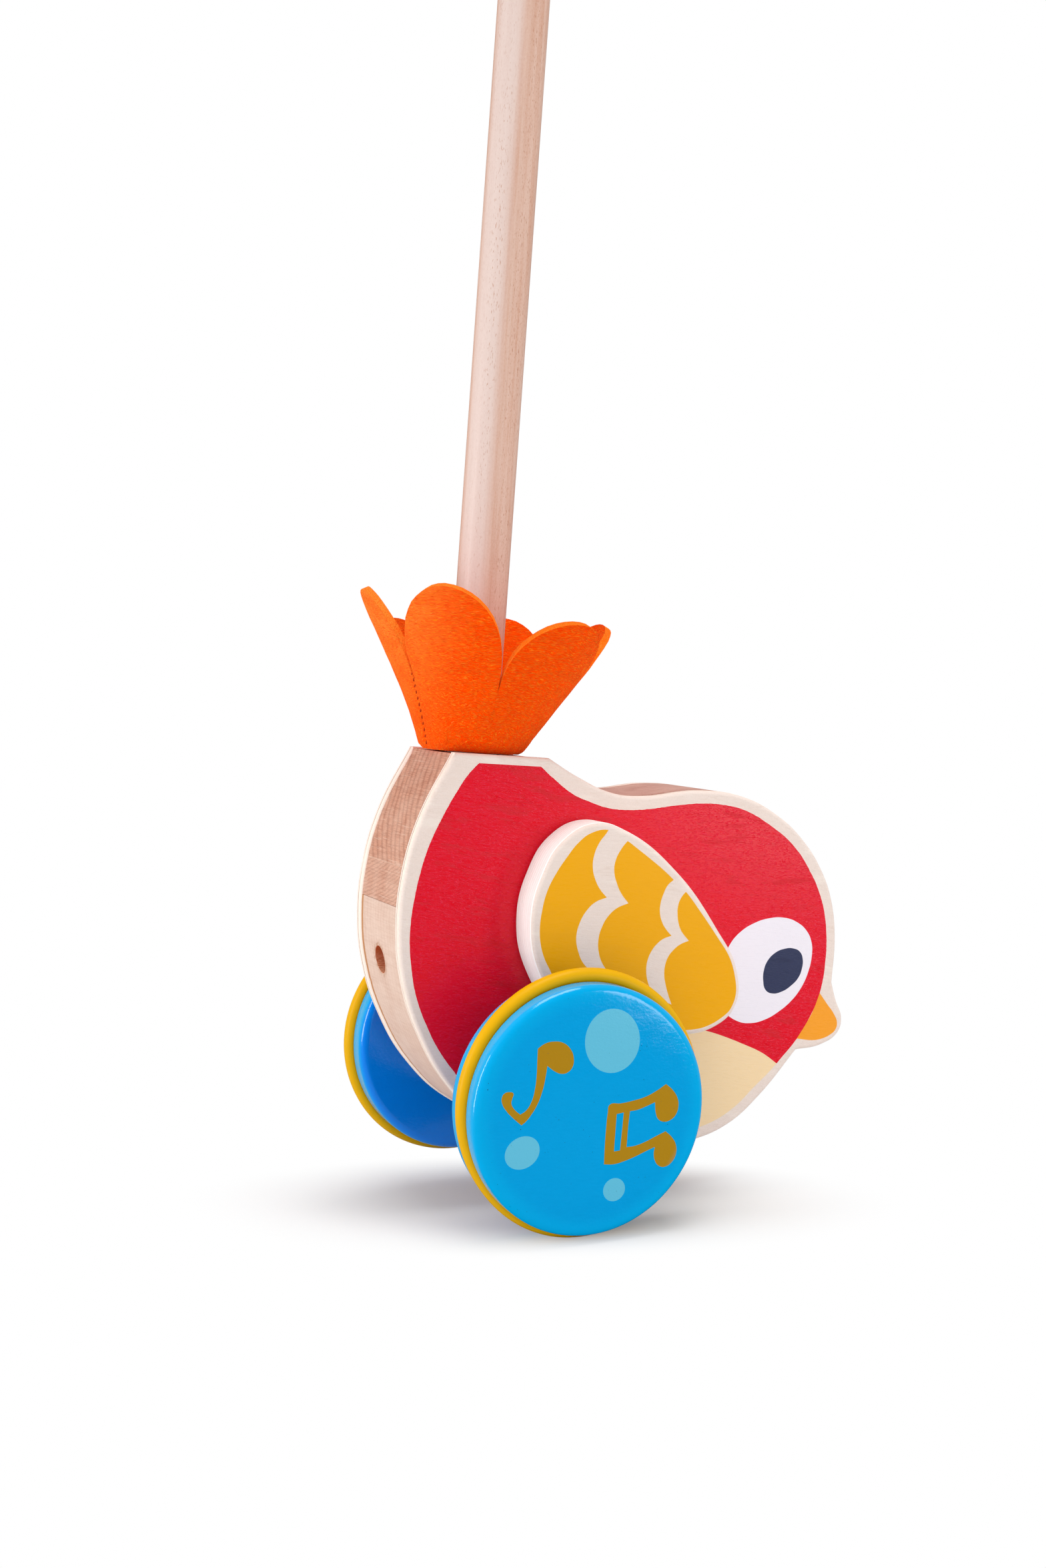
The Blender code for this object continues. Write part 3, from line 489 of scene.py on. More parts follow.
def felt_point(angle, length, longest):
    """A point on the skirt's outer face, in mm: an angle round the stick and a length up from the base."""
    forward = (1 + math.cos(angle)) / 2
    base, middle, tip = (back + (front - back) * forward
                         for back, front in zip(FELT_BACK_FLARES, FELT_FRONT_FLARES))
    bow = middle - (base + tip) / 2
    radius, height, steps = FELT_BASE_RADIUS, 0.0, 12
    for index in range(steps):
        share = (index + 0.5) / steps * length / longest
        flare = math.radians(base + (tip - base) * share + 4 * bow * share * (1 - share))
        radius += math.sin(flare) * length / steps
        height += math.cos(flare) * length / steps
    off_seam = math.remainder(angle - seam_angle(length), 2 * math.pi) / SEAM_DENT_HALF_WIDTH
    radius -= SEAM_DENT * math.exp(-off_seam ** 2) * max(0.0, min(1.0, SEAM_DENT_END - length))
    radius -= max(0.0, 1.0 - length / FELT_FOOT_ROUNDING) ** 2
    return Vector((radius * math.cos(angle), radius * math.sin(angle), height))


def petal_columns(felt, petal, length, longest):
    """A petal's columns of points: places in space, each with its place on the felt as it was cut, in mm."""
    start, start_notch, start_taper = FELT_NOTCHES[petal]
    end, end_notch, end_taper = FELT_NOTCHES[(petal + 1) % len(FELT_NOTCHES)]
    end += 360.0 if end < start else 0.0
    middle, half = math.radians((start + end) / 2), math.radians((end - start) / 2)
    columns = []
    for step in range(felt.columns):
        swing = math.pi * (step / felt.columns - 0.5)
        notch = start_notch + (end_notch - start_notch) * (1 + math.sin(swing)) / 2
        reach = notch + (length - notch) * math.cos(swing) ** PETAL_BLUNTNESS
        side = half * math.sin(swing)
        taper = start_taper if swing < 0 else end_taper
        column = []
        for hem in PETAL_HEM:
            radius = FELT_HOLE_RADIUS + hem
            point = Vector((radius * math.cos(middle + side), radius * math.sin(middle + side), 0.0))
            column.append((point, (FELT_CUT_RADIUS * (middle + side), radius - FELT_BASE_RADIUS)))
        for row in range(felt.rows + 1):
            share = (row / felt.rows) ** PETAL_ROW_SPREAD
            angle = middle + side * (1.0 - taper * math.cos(swing) * share ** 2)
            column.append((felt_point(angle, reach * share, longest),
                           (FELT_CUT_RADIUS * angle, reach * share)))
        columns.append(column)
    return columns


def skirt_form(felt, lengths):
    """The skirt's outer face, with the cut felt as its UV map in metres."""
    form = bmesh.new()
    laid = form.loops.layers.uv.new("laid")
    columns = []
    for petal, length in enumerate(lengths):
        columns += petal_columns(felt, petal, length, max(lengths))
    placed = [[form.verts.new(point * MM) for point, _ in column] for column in columns]
    for index, column in enumerate(columns):
        after = (index + 1) % len(columns)
        for row in range(len(column) - 1):
            corners = ((index, row), (after, row), (after, row + 1), (index, row + 1))
            face = form.faces.new([placed[at][level] for at, level in corners])
            for loop, (at, level) in zip(face.loops, corners):
                u, v = columns[at][level][1]
                u += FELT_CUT_RADIUS * 2 * math.pi if at == after == 0 else 0.0
                loop[laid].uv = (u * MM, v * MM)
    return form


def stitches_form(pitch, longest):
    """Short slanting stitches that close the skirt from its base up to the notch."""
    form = bmesh.new()
    for index in range(int((FELT_NOTCHES[0][1] - 1.0) / pitch)):
        length = STITCH_START + index * pitch
        angle = seam_angle(length)
        here = felt_point(angle, length, longest)
        up = (felt_point(angle, length + 0.5, longest) - here).normalized()
        round_it = Vector((-math.sin(angle), math.cos(angle), 0.0))
        along = (round_it + up * STITCH_LEANS[index % 2]).normalized()
        outward = round_it.cross(up).normalized()
        turn = Matrix((along, along.cross(outward), outward)).transposed().to_4x4()
        shape = Matrix.Diagonal((*(Vector(STITCH_SIZE) * MM), 1.0))
        bmesh.ops.create_icosphere(form, subdivisions=2, radius=1.0, matrix=Matrix.Translation(
            (here + outward * 0.05) * MM) @ turn @ shape)
    return form


# Shader building

class Output:
    """A node's output. Arithmetic on it adds the Math nodes that work it out."""

    def __init__(self, socket):
        self.socket = socket

    def node(self, kind, *inputs, **named):
        """Add a node whose first input is this."""
        return add_node(self.socket.id_data, kind, self, *inputs, **named)

    def twin(self, name):
        """Another output of the same node."""
        return Output(self.socket.node.outputs[name])

    def __add__(self, other):
        return self.node("Math", other, operation="ADD")

    def __sub__(self, other):
        return self.node("Math", other, operation="SUBTRACT")

    def __mul__(self, other):
        return self.node("Math", other, operation="MULTIPLY")

    def __abs__(self):
        return self.node("Math", operation="ABSOLUTE")


def set_inputs(node, inputs):
    """Set a node's inputs, by number or by name with _ for a space, to values, hex colours or outputs."""
    for name, value in inputs.items():
        socket = node.inputs[name.replace("_", " ") if isinstance(name, str) else name]
        if isinstance(value, Output):
            node.id_data.links.new(value.socket, socket)
        elif value is not None:
            value = linear(value) if isinstance(value, str) else value
            socket.default_value = (*value, 1.0) if socket.type == "RGBA" else value


def add_node(tree, kind, *inputs, output=0, **named):
    """Add one node and give one of its outputs. Inputs come in the order of its sockets, None for one left
    alone. A name with a capital is the socket of that name, and any other name is a setting of the node."""
    node = tree.nodes.new("ShaderNode" + kind)
    tuned(node, **{name: value for name, value in named.items() if name.islower()})
    sockets = {name: value for name, value in named.items() if not name.islower()}
    set_inputs(node, dict(enumerate(inputs)) | sockets)
    return Output(node.outputs[output]) if node.outputs else None


def pattern(place, size, detail=3.0, rough=0.6, low=0.3, high=0.7, distortion=0.0):
    """Noise of a real size in mm along X, Y and Z, spread from 0 to 1 between two of its levels."""
    scaled = place.node("Mapping", Scale=[1 / (MM * part) for part in size])
    cloud = scaled.node("TexNoise", Scale=1.0, Detail=detail, Roughness=rough, Distortion=distortion)
    return cloud.node("MapRange", low, high, **SMOOTH)


def layered(toned, *layers):
    """A colour with others laid over it in turn, each with its mask and its strength. A Mix node's two
    colours are its inputs 6 and 7."""
    for mask, strength, colour in layers:
        share = mask * strength
        toned = share.node("Mix", *[None] * 5, toned, colour, data_type="RGBA", output=2)
    return toned


def new_material(name, colour):
    """A node material, and the places on its object in metres."""
    material = tuned(bpy.data.materials.new(name), use_nodes=True, diffuse_color=(*colour, 1.0))
    return material, add_node(material.node_tree, "TexCoord", output="Object")


def shaded(material, colour, roughness, *reliefs, **more):
    """Fill in the material's Principled shader. A relief is a height, how many mm high it is and its
    strength, and the lowest comes first; more are the shader's further inputs."""
    tree, normal = material.node_tree, None
    for height, distance, strength in reliefs:
        normal = add_node(tree, "Bump", Height=height, Distance=distance * MM, Strength=strength,
                          Normal=normal)
    set_inputs(tree.nodes["Principled BSDF"],
               {"Base Color": colour, "Roughness": roughness, "Normal": normal, **more})
    return material


def veneer_figure(place):
    """Rotary-cut birch along X, as its flow, fine streaks, soft patches, short pores and the thin wandering
    lines where the knife crossed a growth ring."""
    laid = place.node("Mapping", Rotation=(0.0, math.radians(-9.0), 0.0))
    drift = laid.node("TexNoise", Scale=22.0, Detail=2.0, output=1)
    flow = drift.node("VectorMath", (0.0, 0.0, 9.0 * MM), laid, operation="MULTIPLY_ADD")
    streaks = pattern(flow, (4.0, 4.0, 0.45), 5.0, 0.7)
    patches = pattern(flow, (15.0, 15.0, 3.2), 4.0, 0.6, 0.56, 0.68)
    pores = pattern(flow, (0.9, 0.9, 0.17), 2.0, 0.5, 0.58, 0.74)
    level = flow.node("Mapping", Scale=(14.0, 14.0, 120.0))
    rings = level.node("TexNoise", Scale=1.0, Detail=3.0, Roughness=0.6)
    off_ring = (rings * 9.0).node("Math", 0.5, operation="PINGPONG")
    lines = off_ring.node("MapRange", 0.09, 0.01) * pattern(laid, (12.0, 12.0, 9.0), 1.0, 0.5, 0.45, 0.62)
    return flow, streaks, patches, pores, lines


# Materials

def birch_veneer(name, colour):
    """Sanded birch plywood face under a thin matt varnish: near white, with faint streaks, fine upright
    mottling and short pores."""
    material, place = new_material(name, colour)
    _, streaks, patches, pores, lines = veneer_figure(place)
    mottle = pattern(place, (0.3, 0.5, 0.5), 3.0, 0.7)
    dark = pores.node("Math", lines, operation="MAXIMUM")
    toned = layered(colour, (streaks, 0.25, "#E3CDBD"), (mottle, 0.35, "#E0CFC4"),
                    (patches, 0.45, "#F6EADF"), (dark, 0.14, "#C4A58C"))
    return shaded(material, toned, 0.5, (streaks - pores, 0.04, 0.6), IOR=1.5, Specular_IOR_Level=0.3)


def screen_ink(name, colour, light, deep, see_through, roughness=0.3, gloss=0.3, relief=0.2):
    """Water-based screen ink on birch ply: the grain shows as fine streaks and pale specks, thin deeper
    lines and a few patches that took more ink."""
    material, place = new_material(name, colour)
    flow, streaks, patches, pores, lines = veneer_figure(place)
    specks = pattern(flow, (0.7, 0.7, 0.15), 1.0, 0.5, 0.62, 0.78)
    dashes = pattern(place, (1.2, 1.2, 0.42), 2.0, 0.6, 0.5, 0.7)
    dark = (pores * 0.45).node("Math", lines, operation="MAXIMUM")
    toned = layered(colour, (streaks, see_through * 0.5, light), (dashes, see_through, light),
                    (patches, see_through, deep), (dark, see_through, deep), (specks, see_through, light))
    uneven = streaks * 0.12 + (roughness - 0.06) + patches * (see_through * 0.3)
    return shaded(material, toned, uneven, (dashes - pores, 0.035, relief), IOR=1.5,
                  Specular_IOR_Level=gloss)


def plywood_edge(name, faces, ply, colours, glue_shows):
    """Sanded plywood edge: pale plies across Y, every second one end grain, with thin glue lines between.
    The colours are the pale wood's, the end grain's and the glue's."""
    pale, shade, line = colours
    material, place = new_material(name, linear(pale))
    depth = abs(place.node("SeparateXYZ", output=1)) - faces[0] * MM
    wander = pattern(place, (9.0, 9.0, 9.0), 2.0, 0.5, 0.0, 1.0)
    plies = wander * 0.1 + depth.node("Math", ply * MM, operation="DIVIDE")
    half = (faces[1] - faces[0]) / 2
    within = abs(depth - half * MM).node("Math", (half - ply * 0.4) * MM, operation="LESS_THAN")
    fades = pattern(place, (14.0, 14.0, 14.0), 2.0, 0.5, 0.3, 0.6)
    off_middle = abs(plies.node("Math", operation="FRACT") - 0.5)
    glue = off_middle.node("MapRange", 0.4, 0.45) * within * (fades * 0.7 + 0.3)
    pairs = (plies * 0.5).node("Math", operation="FRACT")
    second = pairs.node("Math", 0.5, operation="GREATER_THAN")
    grain = pattern(place, (1.1, 0.18, 1.1), 3.0, 0.6, 0.35, 0.7)
    toned = layered(pale, (grain * (second * 0.4 + 0.15), 1.0, shade), (glue, glue_shows, line))
    return shaded(material, toned, 0.5, (grain - glue, 0.04, 0.7), IOR=1.5, Specular_IOR_Level=0.15)


def growth_rings(place, pith, pitch):
    """Growth rings across Y and Z round a far pith, as soft dark lines."""
    moved = place.node("Mapping", (0.0, -pith[0] * MM, -pith[1] * MM))
    wave = moved.node("TexWave", Scale=0.314 / (pitch * MM), Distortion=5.0, Detail=2.0, Detail_Scale=0.6,
                      wave_type="RINGS", rings_direction="X", output=1)
    return wave.node("MapRange", 0.45, 0.95, **SMOOTH)


def beech_end_grain(name, colours, rings, contrast, saw=1.0, lower=None, hole=None):
    """Sawn and sanded beech: slanting growth rings in dots, crossed by fine pale and dark saw lines along Y,
    which are drawn coarser than real ones so that they show. Before the stick the surface is long grain,
    plainer and pinker. Rings are a pith and a pitch. Lower names a second piece glued below, by its top and
    its rings. Hole is a torn bore's height and radius."""
    colour, ring_colour, pale = colours
    material, place = new_material(name, colour)
    ahead = place.node("SeparateXYZ")
    end_share = ahead.node("MapRange", 4.0 * MM, -18.0 * MM, 0.3, **SMOOTH)
    lines = growth_rings(place, *rings)
    if lower:
        top, lower_rings = lower
        below = ahead.twin("Z").node("Math", top * MM, operation="LESS_THAN")
        lines = below.node("Mix", None, lines, growth_rings(place, *lower_rings))
    dots = pattern(place, (0.5, 0.3, 0.3), 2.0, 0.6, 0.35, 0.65) * 0.6 + 0.4
    dark_lines = pattern(place, (9.0, 9.0, 0.24), 3.0, 0.6, 0.45, 0.66) * end_share
    pale_lines = pattern(place, (16.0, 16.0, 0.4), 3.0, 0.7, 0.58, 0.72)
    fine = pattern(place, (0.3, 0.16, 1.2), 2.0, 0.6, 0.35, 0.7)
    hairs = pattern(place, (0.3, 0.24, 2.4), 2.0, 0.6, 0.56, 0.68)
    clouds = pattern(place, (9.0, 7.0, 9.0))
    toned = layered("#D0A49C", (end_share, 1.0, colour), (lines * dots * end_share, contrast, ring_colour),
                    (dark_lines, 0.5 * saw, ring_colour), (fine, 0.3, ring_colour),
                    (hairs, 0.45, ring_colour), (clouds, 0.25, pale), (pale_lines, 0.55 * saw, pale))
    if hole:
        toned = torn_hole(place, toned, clouds, *hole)
    if lower:
        glue = abs(ahead.twin("Z") - top * MM).node("MapRange", 0.25 * MM, 0.05 * MM)
        toned = layered(toned, (below, 0.12, pale), (glue, 0.2, "#F3DCC8"))
    return shaded(material, toned, 0.6, (pale_lines - dark_lines, 0.05, 0.6), IOR=1.5,
                  Specular_IOR_Level=0.3)


def torn_hole(place, toned, clouds, height, radius):
    """The back of a block round a bore with a torn mouth. The bore's wall is painted light at its bottom and
    dark towards its top, as painted light and shade, and the open joint with the far panel is a darker band
    of painted shade.
    """
    ahead = place.node("SeparateXYZ")
    behind = ahead.node("Math", 0.0, operation="LESS_THAN")
    flat = place.node("VectorMath", (0.0, 1.0, 1.0), operation="MULTIPLY")
    from_axis = flat.node("VectorMath", (0.0, 0.0, height * MM), operation="DISTANCE", output=1)
    fibres = pattern(place.node("Mapping", Rotation=(math.radians(-32.0), 0.0, 0.0)),
                     (1.6, 0.35, 2.6), 2.0, 0.6, 0.42, 0.6)
    torn = fibres * (2.2 * MM) + from_axis
    rim = torn.node("MapRange", (radius + 1.9) * MM, (radius + 1.0) * MM) * behind
    wall = from_axis.node("MapRange", (radius + 0.1) * MM, radius * MM) * behind
    # Painted light and shade: the bore's wall is light below and darker towards its top.
    high = ahead.twin("Z").node("MapRange", (height - radius) * MM, (height + radius * 0.6) * MM)
    bore = layered("#FFC098", (high, 1.0, "#C05428"), (fibres, 0.7, "#C8683A"))
    # Painted shade: a darker band along the open joint with the far panel.
    ragged = clouds * (0.35 * MM) + ahead.twin("Y")
    painted_joint_shade = ragged.node("MapRange", (CORE_HALF - 1.5) * MM, (CORE_HALF - 1.1) * MM) * behind
    return layered(toned, (rim, 0.8, "#B98A6C"), (wall, 1.0, bore), (painted_joint_shade, 1.0, "#BE8250"))


def beech_long_grain(name, wood, roughness=0.36):
    """Turned beech under a thin clear lacquer: soft pink and tan streaks up Z with short dark ray flecks,
    and the side facing back and towards the toy's right painted paler, as painted light."""
    material, place = new_material(name, wood.stick)
    streaks = pattern(place, (1.5, 1.5, 60.0), 4.0, 0.6, 0.3, 0.72, 0.3)
    bands = pattern(place, (6.0, 6.0, 190.0), 1.0, 0.5, 0.42, 0.62)
    flecks = pattern(place, (0.34, 0.34, 1.3), 1.0, 0.5, 0.6, 0.7)
    shimmer = pattern(place, (0.5, 0.5, 0.7), 2.0)
    # Painted light: the side that faces back and to the toy's right is mixed paler.
    outward = place.node("VectorMath", (1.0, 1.0, 0.0), operation="MULTIPLY").node(
        "VectorMath", operation="NORMALIZE")
    facing = outward.node("VectorMath", (-0.8, -0.6, 0.0), operation="DOT_PRODUCT", output=1)
    painted_lit_side = facing.node("MapRange", 0.68, 0.98, **SMOOTH)
    toned = layered(wood.stick, (streaks, 0.75, wood.stick_warm), (painted_lit_side, 0.75, "#DCCBC5"),
                    (shimmer, 0.12, "#F0E0D8"), (flecks * (bands * 0.5 + 0.12), 1.0, wood.fleck))
    return shaded(material, toned, roughness, (streaks - flecks, 0.03, 0.6), IOR=1.5,
                  Specular_IOR_Level=0.3)


def wheel_lacquer(name, colour, light, roughness=0.09, gloss=0.62):
    """Sprayed gloss lacquer or ink on turned beech: fine orange peel over a slow swell, with a few specks of
    dust. The inner faces are painted a deeper blue, as painted shade between wheel and body. The rounded
    rims are a lighter cyan, partly thin spray and partly a painted highlight where the lamps reflect in the
    rounding."""
    material, place = new_material(name, colour)
    peel = pattern(place, (0.9, 0.9, 0.6), 3.0, 0.6, 0.2, 0.8)
    swell = pattern(place, (9.0, 9.0, 6.0), 1.0, 0.5, 0.2, 0.8)
    tint = pattern(place, (3.0, 3.0, 0.6), 4.0, 0.6, 0.3, 0.75)
    dust = pattern(place, (0.45, 0.45, 0.45), 0.0, 0.5, 0.86, 0.9)
    # Painted shade: the inner faces are mixed towards a deeper blue.
    inward = abs(place.node("SeparateXYZ", output=1)).node("MapRange", 41.5 * MM, 38.7 * MM, **SMOOTH)
    flat = place.node("VectorMath", (1.0, 0.0, 1.0), operation="MULTIPLY")
    radius = flat.node("VectorMath", operation="LENGTH", output=1)
    # Painted highlight, with thin spray: the rounded rims are mixed towards a lighter cyan.
    rim = radius.node("MapRange", 27.5 * MM, 33.5 * MM, **SMOOTH)
    toned = layered(colour, (tint, 0.3, light), (rim, 0.6, "#00B0EA"), (inward, 1.0, "#0082F0"),
                    (dust, 1.0, "#0A3A5C"))
    return shaded(material, toned, roughness, (swell, 0.1, 0.5), (peel, 0.022, 0.8), IOR=1.5,
                  Specular_IOR_Level=gloss)


def moulded_rubber(name, colour):
    """Moulded natural rubber ring: a satin skin with a little bloom and very slight unevenness."""
    material, place = new_material(name, colour)
    bloom = pattern(place, (5.0, 5.0, 5.0), 4.0, 0.6, 0.3, 0.75)
    skin = pattern(place, (0.7, 0.7, 0.7), 2.0, 0.5, 0.2, 0.8)
    toned = layered(colour, (bloom, 0.3, [min(1.0, part * 1.12) for part in colour]))
    return shaded(material, toned, 0.36, (skin, 0.02, 0.5), IOR=1.52, Specular_IOR_Level=0.12)


def pressed_felt(name, colour, pale, deep, cut=False):
    """Pressed wool felt: matt and hazy, with short pale and deep fibres lying mostly sideways, and a tangle
    of them near the base; towards the back it is painted paler, as painted light from the lamp behind the
    tail. Fibres are drawn about 0.2 mm thick, several times the real ones, so that they show. A cut edge
    shows their ends instead."""
    material, place = new_material(name, colour)
    if cut:
        laid, curled = place, place.node("Mapping", Scale=(4.0, 1.0, 0.9))
    else:
        laid = place.twin("UV")
        tangle = laid.node("SeparateXYZ", output=1).node("MapRange", 21.0 * MM, 3.0 * MM, 3.0 * MM, 5.0 * MM)
        bend = laid.node("TexNoise", Scale=190.0, Detail=3.0, output=1)
        curled = bend.node("VectorMath", tangle.node("CombineXYZ", tangle), laid, operation="MULTIPLY_ADD")
    pale_fibres = pattern(curled, (1.7, 0.2, 1.0), 2.0, 0.6, 0.48, 0.66)
    bright_fibres = pattern(curled, (1.3, 0.15, 1.0), 1.0, 0.6, 0.62, 0.76)
    deep_fibres = pattern(curled, (1.5, 0.24, 1.7), 2.0, 0.6, 0.5, 0.68)
    clouds = pattern(laid, (8.0, 6.0, 5.0), 3.0, 0.65, 0.4, 0.65)
    # Painted light: the felt is mixed paler towards the back, where the lamp behind the tail falls on it.
    painted_lit_back = place.node("SeparateXYZ").node("MapRange", -10.0 * MM, -36.0 * MM, **SMOOTH)
    toned = layered(colour, (painted_lit_back, 0.5, "#FFA044"), (clouds, 0.35, deep), (deep_fibres, 0.75, deep),
                    (pale_fibres, 0.8, pale), (bright_fibres, 0.5, "#FFA850"))
    return shaded(material, toned, 0.95, (pale_fibres - deep_fibres, 0.12, 0.7), Specular_IOR_Level=0.0,
                  Sheen_Weight=0.35, Sheen_Roughness=0.4, Sheen_Tint="#FFA050")


def spun_thread(name, colour):
    """Twisted polyester sewing thread, darker than the felt, with a fine twist in two tones."""
    material, place = new_material(name, colour)
    twist = pattern(place, (0.2, 0.2, 0.2), 1.0, 0.5, 0.2, 0.8)
    toned = layered(colour, (twist, 0.4, [part * 0.6 for part in colour]))
    return shaded(material, toned, 0.7, (twist, 0.05, 0.8), Specular_IOR_Level=0.1)


def moulded_nylon(name, colour):
    """Natural moulded nylon: milky, satin, with a faint flow pattern."""
    material, place = new_material(name, colour)
    flow = pattern(place, (4.0, 4.0, 4.0))
    toned = layered(colour, (flow, 1.0, [part * 0.93 for part in colour]))
    return shaded(material, toned, 0.4, (flow, 0.03, 0.4), IOR=1.53, Subsurface_Weight=0.1,
                  Subsurface_Radius=(1.5 * MM, 1.3 * MM, 1.0 * MM))


def drawn_steel(name, colour):
    """Bright drawn steel: a grey metal with fine lines along Y from the die."""
    material, place = new_material(name, colour)
    lines = pattern(place, (0.15, 9.0, 0.15))
    return shaded(material, colour, lines * 0.16 + 0.2, (lines, 0.01, 0.5), Metallic=1.0)


# Settings that a user would change

def colour_setting(name, description, hex_colour):
    return FloatVectorProperty(name=name, description=description, subtype="COLOR", size=3, min=0.0, max=1.0,
                               default=linear(hex_colour))


def length_setting(name, description, default, low=0.0, high=1000.0):
    """A length that is given in mm and kept in metres."""
    return FloatProperty(name=name, description=description, unit="LENGTH", default=default * MM,
                         min=low * MM, max=high * MM)


def power_setting(name, description, default):
    return FloatProperty(name=name, description=description, unit="POWER", default=default)


class BirdToyPrintSettings(bpy.types.PropertyGroup):
    """Colours printed on the side panels and the wings"""
    bare: colour_setting("Bare veneer", "Unprinted birch margin of panels and wings", "#F0E0D7")
    red: colour_setting("Body red", "Ink on the bird's body", "#E2031D")
    red_light: colour_setting("Body red on streaks", "Where the grain lifts the red ink", "#E82A50")
    red_deep: colour_setting("Body red in patches", "Where the wood took more red ink", "#CC0014")
    cream: colour_setting("Belly cream", "Ink on the belly", "#F6D8A9")
    eye: colour_setting("Eye white", "Ink of the eye", "#F0EAF2")
    pupil: colour_setting("Pupil blue", "Ink of the pupil", "#353B59")
    beak: colour_setting("Beak orange", "Ink of the beak", "#F8A022")
    feather: colour_setting("Feather yellow", "Ink on the wings", "#F0A900")
    edge_wander: length_setting("Edge wander", "How far the red ink creeps at its edge", 0.07, high=1.0)


class BirdToyWoodSettings(bpy.types.PropertyGroup):
    """Colours of the bare wood"""
    tail_block: colour_setting("Tail block", "Beech end grain of the upper block", "#D29A80")
    tail_rings: colour_setting("Tail block rings", "Growth rings of the upper block", "#9C6048")
    tail_pale: colour_setting("Tail block saw lines", "Pale lines of the upper block", "#E6C6B2")
    lower_blocks: colour_setting("Lower blocks", "Beech end grain of the two lower blocks", "#DEC0AF")
    lower_rings: colour_setting("Lower block rings", "Growth rings of the two lower blocks", "#C79F8A")
    lower_pale: colour_setting("Lower block saw lines", "Pale lines of the two lower blocks", "#EEDACB")
    stick: colour_setting("Stick", "Beech of the stick and the knob", "#D9B5A3")
    stick_warm: colour_setting("Stick streaks", "Warm streaks of the stick", "#CA967C")
    fleck: colour_setting("Ray flecks", "Short dark rays of the beech", "#B98267")


class BirdToyFeltSettings(bpy.types.PropertyGroup):
    """Sizes and colours of the felt tail"""
    thickness: length_setting("Thickness", "Thickness of the felt", 2.1, 1.0, 3.0)
    petals: FloatVectorProperty(name="Petal lengths", description="Length of each petal from the base",
                                unit="LENGTH", size=6,
                                default=[length * MM for length in (50.2, 44.0, 47.0, 47.0, 41.5, 48.6)])
    columns: IntProperty(name="Columns", description="Points across one petal", default=22, min=8, max=48)
    rows: IntProperty(name="Rows", description="Rows of points up a petal", default=18, min=6, max=48)
    stitch: length_setting("Stitch pitch", "From one stitch to the next", 1.9, 0.8, 4.0)
    colour: colour_setting("Felt", "Orange wool felt", "#FF4A00")
    edge: colour_setting("Cut edge", "Edge of the felt where the light catches its fibres", "#FF7414")
    pale: colour_setting("Pale fibres", "Fibres that catch the light", "#FF801A")
    deep: colour_setting("Deep fibres", "Fibres in the shade", "#F43400")
    thread: colour_setting("Thread", "Sewing thread of the seam", "#B03600")


class BirdToyWheelSettings(bpy.types.PropertyGroup):
    """Sizes and colours of the wheels and their rings"""
    steps: IntProperty(name="Steps", description="Steps round a wheel", default=128, min=32, max=256)
    lacquer: colour_setting("Lacquer", "Sky-blue lacquer of the wheels", "#009CDC")
    lacquer_light: colour_setting("Lacquer on pores", "Where the lacquer lies thin", "#08A6E6")
    dots: colour_setting("Dots", "Pale blue dots", "#5FBBD8")
    notes: colour_setting("Notes", "Ochre musical notes", "#AC800A")
    rubber: colour_setting("Rings", "Yellow rubber rings", "#E0A900")
    bulge: length_setting("Ring bulge", "How far the near ring stands out at its top", 1.2, high=2.0)


class BirdToyStageSettings(bpy.types.PropertyGroup):
    """Floor, light and camera"""
    floor: colour_setting("Floor", "White studio floor", "#E8E8E8")
    reach: length_setting("Floor reach", "Radius of the floor", 800.0)
    ambient: FloatProperty(name="Ambient", description="Strength of the light from all round", default=0.8)
    left: power_setting("Left light", "Power of the softbox behind the tail", 1.6)
    right: power_setting("Right light", "Power of the softbox before the beak", 2.0)
    top: power_setting("Top light", "Power of the softbox overhead", 5.2)
    front: FloatProperty(name="Dim front", description="How bright gloss sees the room behind the camera",
                         default=0.0)
    side: FloatProperty(name="Bright sides", default=0.25,
                        description="How bright gloss sees the room beside and behind the toy")
    lens: FloatProperty(name="Lens", description="Focal length of the camera", unit="CAMERA", default=41.36)


class BirdToySettings(bpy.types.PropertyGroup):
    """All settings of the toy"""
    prints: PointerProperty(type=BirdToyPrintSettings)
    wood: PointerProperty(type=BirdToyWoodSettings)
    felt: PointerProperty(type=BirdToyFeltSettings)
    wheels: PointerProperty(type=BirdToyWheelSettings)
    stage: PointerProperty(type=BirdToyStageSettings)


# Pieces

class BIRDTOY_OT_core(bpy.types.Operator):
    """Dress the three beech core blocks, close their joints and let the top stand proud over the back"""
    bl_idname = "birdtoy.core"
    bl_label = "Beech Core"

    def execute(self, context):
        wood = context.scene.bird_toy.wood
        sawn = beech_end_grain("beech_end_grain_sawn", (wood.tail_block, wood.tail_rings, wood.tail_pale),
                               TAIL_RINGS, 0.7, lower=TAIL_LOWER_PIECE)
        sanded = beech_end_grain("beech_end_grain_sanded",
                                 (wood.lower_blocks, wood.lower_rings, wood.lower_pale),
                                 LOWER_RINGS, 0.3, saw=0.7, hole=CORE_HOLE)
        block = refined_copy("core_tail_block", "bird", sawn)
        for vertex in block.data.vertices:
            if vertex.co.x > CORE_PROUD_FROM * MM and vertex.co.z > CORE_PROUD_ABOVE * MM:
                share = min(1.0, (vertex.co.x / MM - CORE_PROUD_FROM) / CORE_PROUD_RUN)
                vertex.co.z += CORE_PROUD * MM * share
        for node, rise in CORE_JOINTS:
            block = refined_copy(node, "bird", sanded)
            top = max(vertex.co.z for vertex in block.data.vertices)
            for vertex in block.data.vertices:
                if vertex.co.z > top - 0.05 * MM:
                    vertex.co.z += rise * MM
        return {"FINISHED"}


